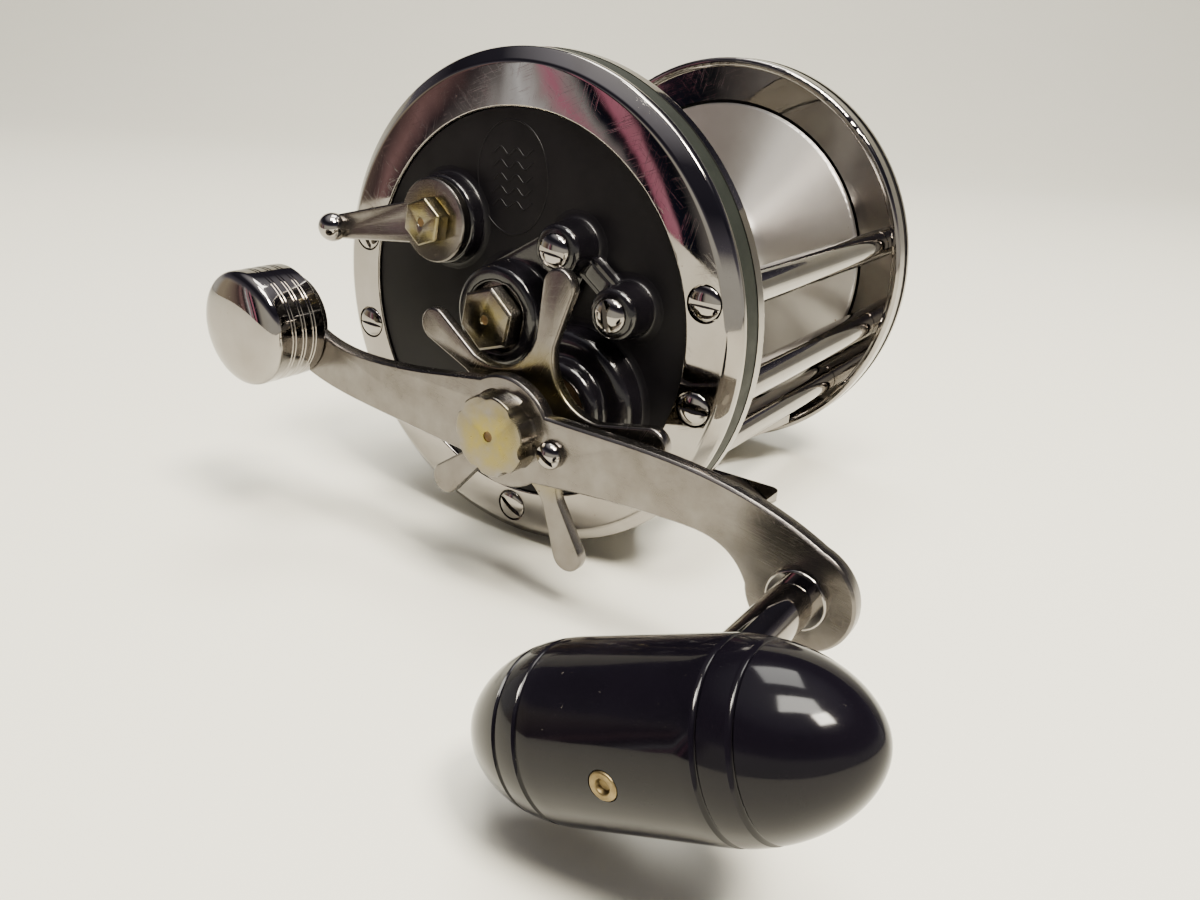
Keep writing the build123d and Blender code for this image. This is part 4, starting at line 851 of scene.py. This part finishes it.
# ------------------------------------------------------------------ generic medallion on the crank side plate
medallion_base = points_mesh("medallion", [(high("handle_ring_outer", "x") - 0.85, -2.9, spool_z + 31.1)])
medallion_mesh = grown("medallion", medallion_base, wave_tree(), {"Material": phenolic})
finish_piece("medallion", medallion_mesh, "frame", phenolic)

# ------------------------------------------------------------------ black grip with its grooves and rivet
grip_half_length, grip_radius, grip_tilt = 35.6, 14.4, radians(23.8)
grip_middle = centre_of("grip", "x")
nose_start = 0.36
groove_places = (0.44, 0.58)
groove_width, groove_depth = 0.016, 0.45


def grip_radius_at(share):
    """Straight in the middle, then a bullet nose, with shallow turned grooves."""
    past = max(0.0, (abs(share) - nose_start) / (1 - nose_start))
    full = grip_radius * (1 - past ** 2.05) ** 0.56
    nearest = min(abs(abs(share) - place) for place in groove_places)
    return max(0.0, full - groove_depth * max(0.0, 1 - (nearest / groove_width) ** 2))


shares = sorted({sin(pi / 2 * i / 90) for i in range(-90, 91)}
                | {side * (place + groove_width * step / 4) for side in (-1, 1) for place in groove_places
                   for step in range(-5, 6)})
grip_shape = lathe(bmesh.new(), [(grip_half_length * share, grip_radius_at(share)) for share in shares],
                   (0, 0), sides=160)
lean = Matrix(((0, 0, -1), (cos(grip_tilt), -sin(grip_tilt), 0), (sin(grip_tilt), cos(grip_tilt), 0)))
bmesh.ops.transform(grip_shape, verts=grip_shape.verts,
                    matrix=Matrix.Translation((grip_middle, spindle_y, spindle_z)) @ lean.to_4x4())
grip_body = to_mesh("grip_body", grip_shape)
rivet_radius = 2.3


spindle_place, spindle_bore = (spindle_y, spindle_z), 4.75
grip_front, grip_rear = grip_middle + grip_radius, grip_middle - grip_radius
for from_x, to_x, radius in [(grip_front - 1.2, grip_front + 5, rivet_radius + 0.15),
                             (grip_rear - 5, grip_middle, spindle_bore)]:
    hole = [(from_x, 0), (from_x, radius), (to_x, radius), (to_x, 0)]
    grip_body = cut_away(grip_body, lathe(bmesh.new(), hole, spindle_place, sides=64))
finish_piece("grip_body", grip_body, "grip", grip_resin, ["grip"], sharp=28)

rivet_top = grip_front + 0.15
rivet_shape = lathe(bmesh.new(), rounded([
    (rivet_top - 1.6, 0, 0), (rivet_top - 1.6, rivet_radius, 0), (rivet_top, rivet_radius, 0.35),
    (rivet_top, 1.25, 0.3), (rivet_top - 0.8, 0.9, 0.2), (rivet_top - 0.9, 0, 0)]), spindle_place, sides=64)
finish_piece("rivet_end", to_mesh("rivet_end", rivet_shape), "crank", aged_brass, ["grip_rivet"])

# ------------------------------------------------------------------ counterweight with its turned line pairs
weight_y, weight_z = centre_of("counterweight", "y"), centre_of("counterweight", "z")
weight_back, weight_front = high("crank_arm", "x"), high("counterweight", "x")
weight_radius = (high("counterweight", "y") - low("counterweight", "y")) / 2
line_pairs = [weight_back + offset + half for offset in (3.4, 6.4, 9.4) for half in (-0.45, 0.45)]
weight_outline = [(weight_back, 0, 0), (weight_back, weight_radius, 0.5)]
for level in line_pairs:
    weight_outline += [(level - 0.22, weight_radius, 0), (level, weight_radius - 0.3, 0),
                       (level + 0.22, weight_radius, 0)]
dome_depth, squareness = 3.6, 2 / 2.5
weight_outline = rounded(weight_outline + [(weight_front - dome_depth, weight_radius, 0)], 10)
for step in range(1, 21):
    lift = pi / 2 * step / 20
    weight_outline.append((weight_front - dome_depth * (1 - sin(lift) ** squareness),
                           weight_radius * max(0.0, cos(lift)) ** squareness if step < 20 else 0.0))
weight_shape = lathe(bmesh.new(), weight_outline, (weight_y, weight_z), sides=192)
finish_piece("weight_body", to_mesh("weight_body", weight_shape), "crank", bright_chrome,
             ["counterweight"])

# ------------------------------------------------------------------ lever's ball
knob_y, knob_z = centre_of("lever_knob", "y"), centre_of("lever_knob", "z")
knob_back, knob_front = high("lever_arm", "x"), high("lever_knob", "x")
ball_radius = (high("lever_knob", "y") - low("lever_knob", "y")) / 2
ball_centre = knob_front - ball_radius
neck_radius = 2.2
ball_outline = [(knob_back - 2.0, 0), (knob_back - 2.0, 1.4), (knob_back, 1.4), (knob_back, neck_radius)]
first_turn = acos(-neck_radius / ball_radius) - pi / 2
for step in range(25):
    turn_up = -pi / 2 + first_turn + (pi - first_turn) * step / 24
    ball_outline.append((ball_centre + ball_radius * sin(turn_up), max(0.0, ball_radius * cos(turn_up))))
knob_shape = lathe(bmesh.new(), ball_outline, (knob_y, knob_z), sides=64)
finish_piece("lever_ball", to_mesh("lever_ball", knob_shape), "lever", bright_chrome,
             ["lever_knob"])

# ------------------------------------------------------------------ pieces whose edges were polished round
for node, width, body, record_slot, finish in [
        ("crank_arm", 0.35, "crank", "satin_chrome", crank_chrome),
        ("crank_nut", 0.3, "crank", "satin_chrome", nut_chrome),
        ("star_wheel", 0.6, "star", "satin_chrome", star_chrome),
        ("lever_arm", 0.25, "lever", "satin_chrome", lever_chrome),
        ("lever_screw", 0.25, "lever", "satin_chrome", lever_chrome),
        ("handle_bearing_cap", 0.25, "frame", "chrome_plate", cap_chrome),
        ("tail_bearing_cap", 0.25, "frame", "chrome_plate", cap_chrome)]:
    finish_piece(node + "_polished", eased_copy(node, width), body, finish, [node])

# ------------------------------------------------------------------ oil ports choked with old oil
for name, level, place, radius, body in [
        ("nut_oil_port", high("crank_nut", "x") - 0.35, (drive_y, drive_z), 1.25, "crank"),
        ("cap_oil_port", high("handle_bearing_cap", "x") - 0.3, (spool_y, spool_z), 1.15, "frame"),
        ("lever_oil_port", high("lever_screw", "x") - 0.3, (lever_y, lever_z), 1.05, "lever")]:
    port = lathe(bmesh.new(), [(level - 1.5, 0), (level - 1.5, radius), (level, radius), (level - 0.2, 0.4),
                               (level - 0.25, 0)], place, sides=48)
    finish_piece(name, to_mesh(name, port), body, oil_crust)

# ------------------------------------------------------------------ floor, which curves up far behind
near_edge, far_edge, half_width, flat_reach, bend = 0.42, 9.0, 6.0, 0.9, 1.4
left_end = -2.13                  # where the bend's foot meets the near edge
to_backdrop = Vector((-0.836, -0.549, 0.0))
sideways = Vector((-0.549, 0.836, 0.0))
floor_rows = [[(near_edge, -2.28, 0.0), (near_edge, half_width, 0.0)]]
for step in range(25):
    lift = radians(90) * step / 24
    far = to_backdrop * (flat_reach + bend * sin(lift)) + Vector((0, 0, bend * (1 - cos(lift))))
    floor_rows.append([tuple(far + sideways * end) for end in (left_end, half_width)])
apron_rows = [[(x, side * half_width, 0.0) for side in (-1, 1)] for x in (far_edge, near_edge)]
table_paint = pale_table("pale_table_paint")
for name, rows in [("table_top", floor_rows), ("table_apron", apron_rows)]:
    points = [point for row in rows for point in row]
    faces = [(2 * i, 2 * i + 1, 2 * i + 3, 2 * i + 2) for i in range(len(rows) - 1)]
    floor_mesh = bpy.data.meshes.new(name)
    floor_mesh.from_pydata(points, [], faces)
    floor_mesh.polygons.foreach_set("use_smooth", [True] * len(faces))
    floor_mesh.materials.append(table_paint)
    table = bpy.data.objects.new(name, floor_mesh)
    table.visible_glossy = name == "table_top"      # the metal sees past the table's near edge
    bpy.context.scene.collection.objects.link(table)
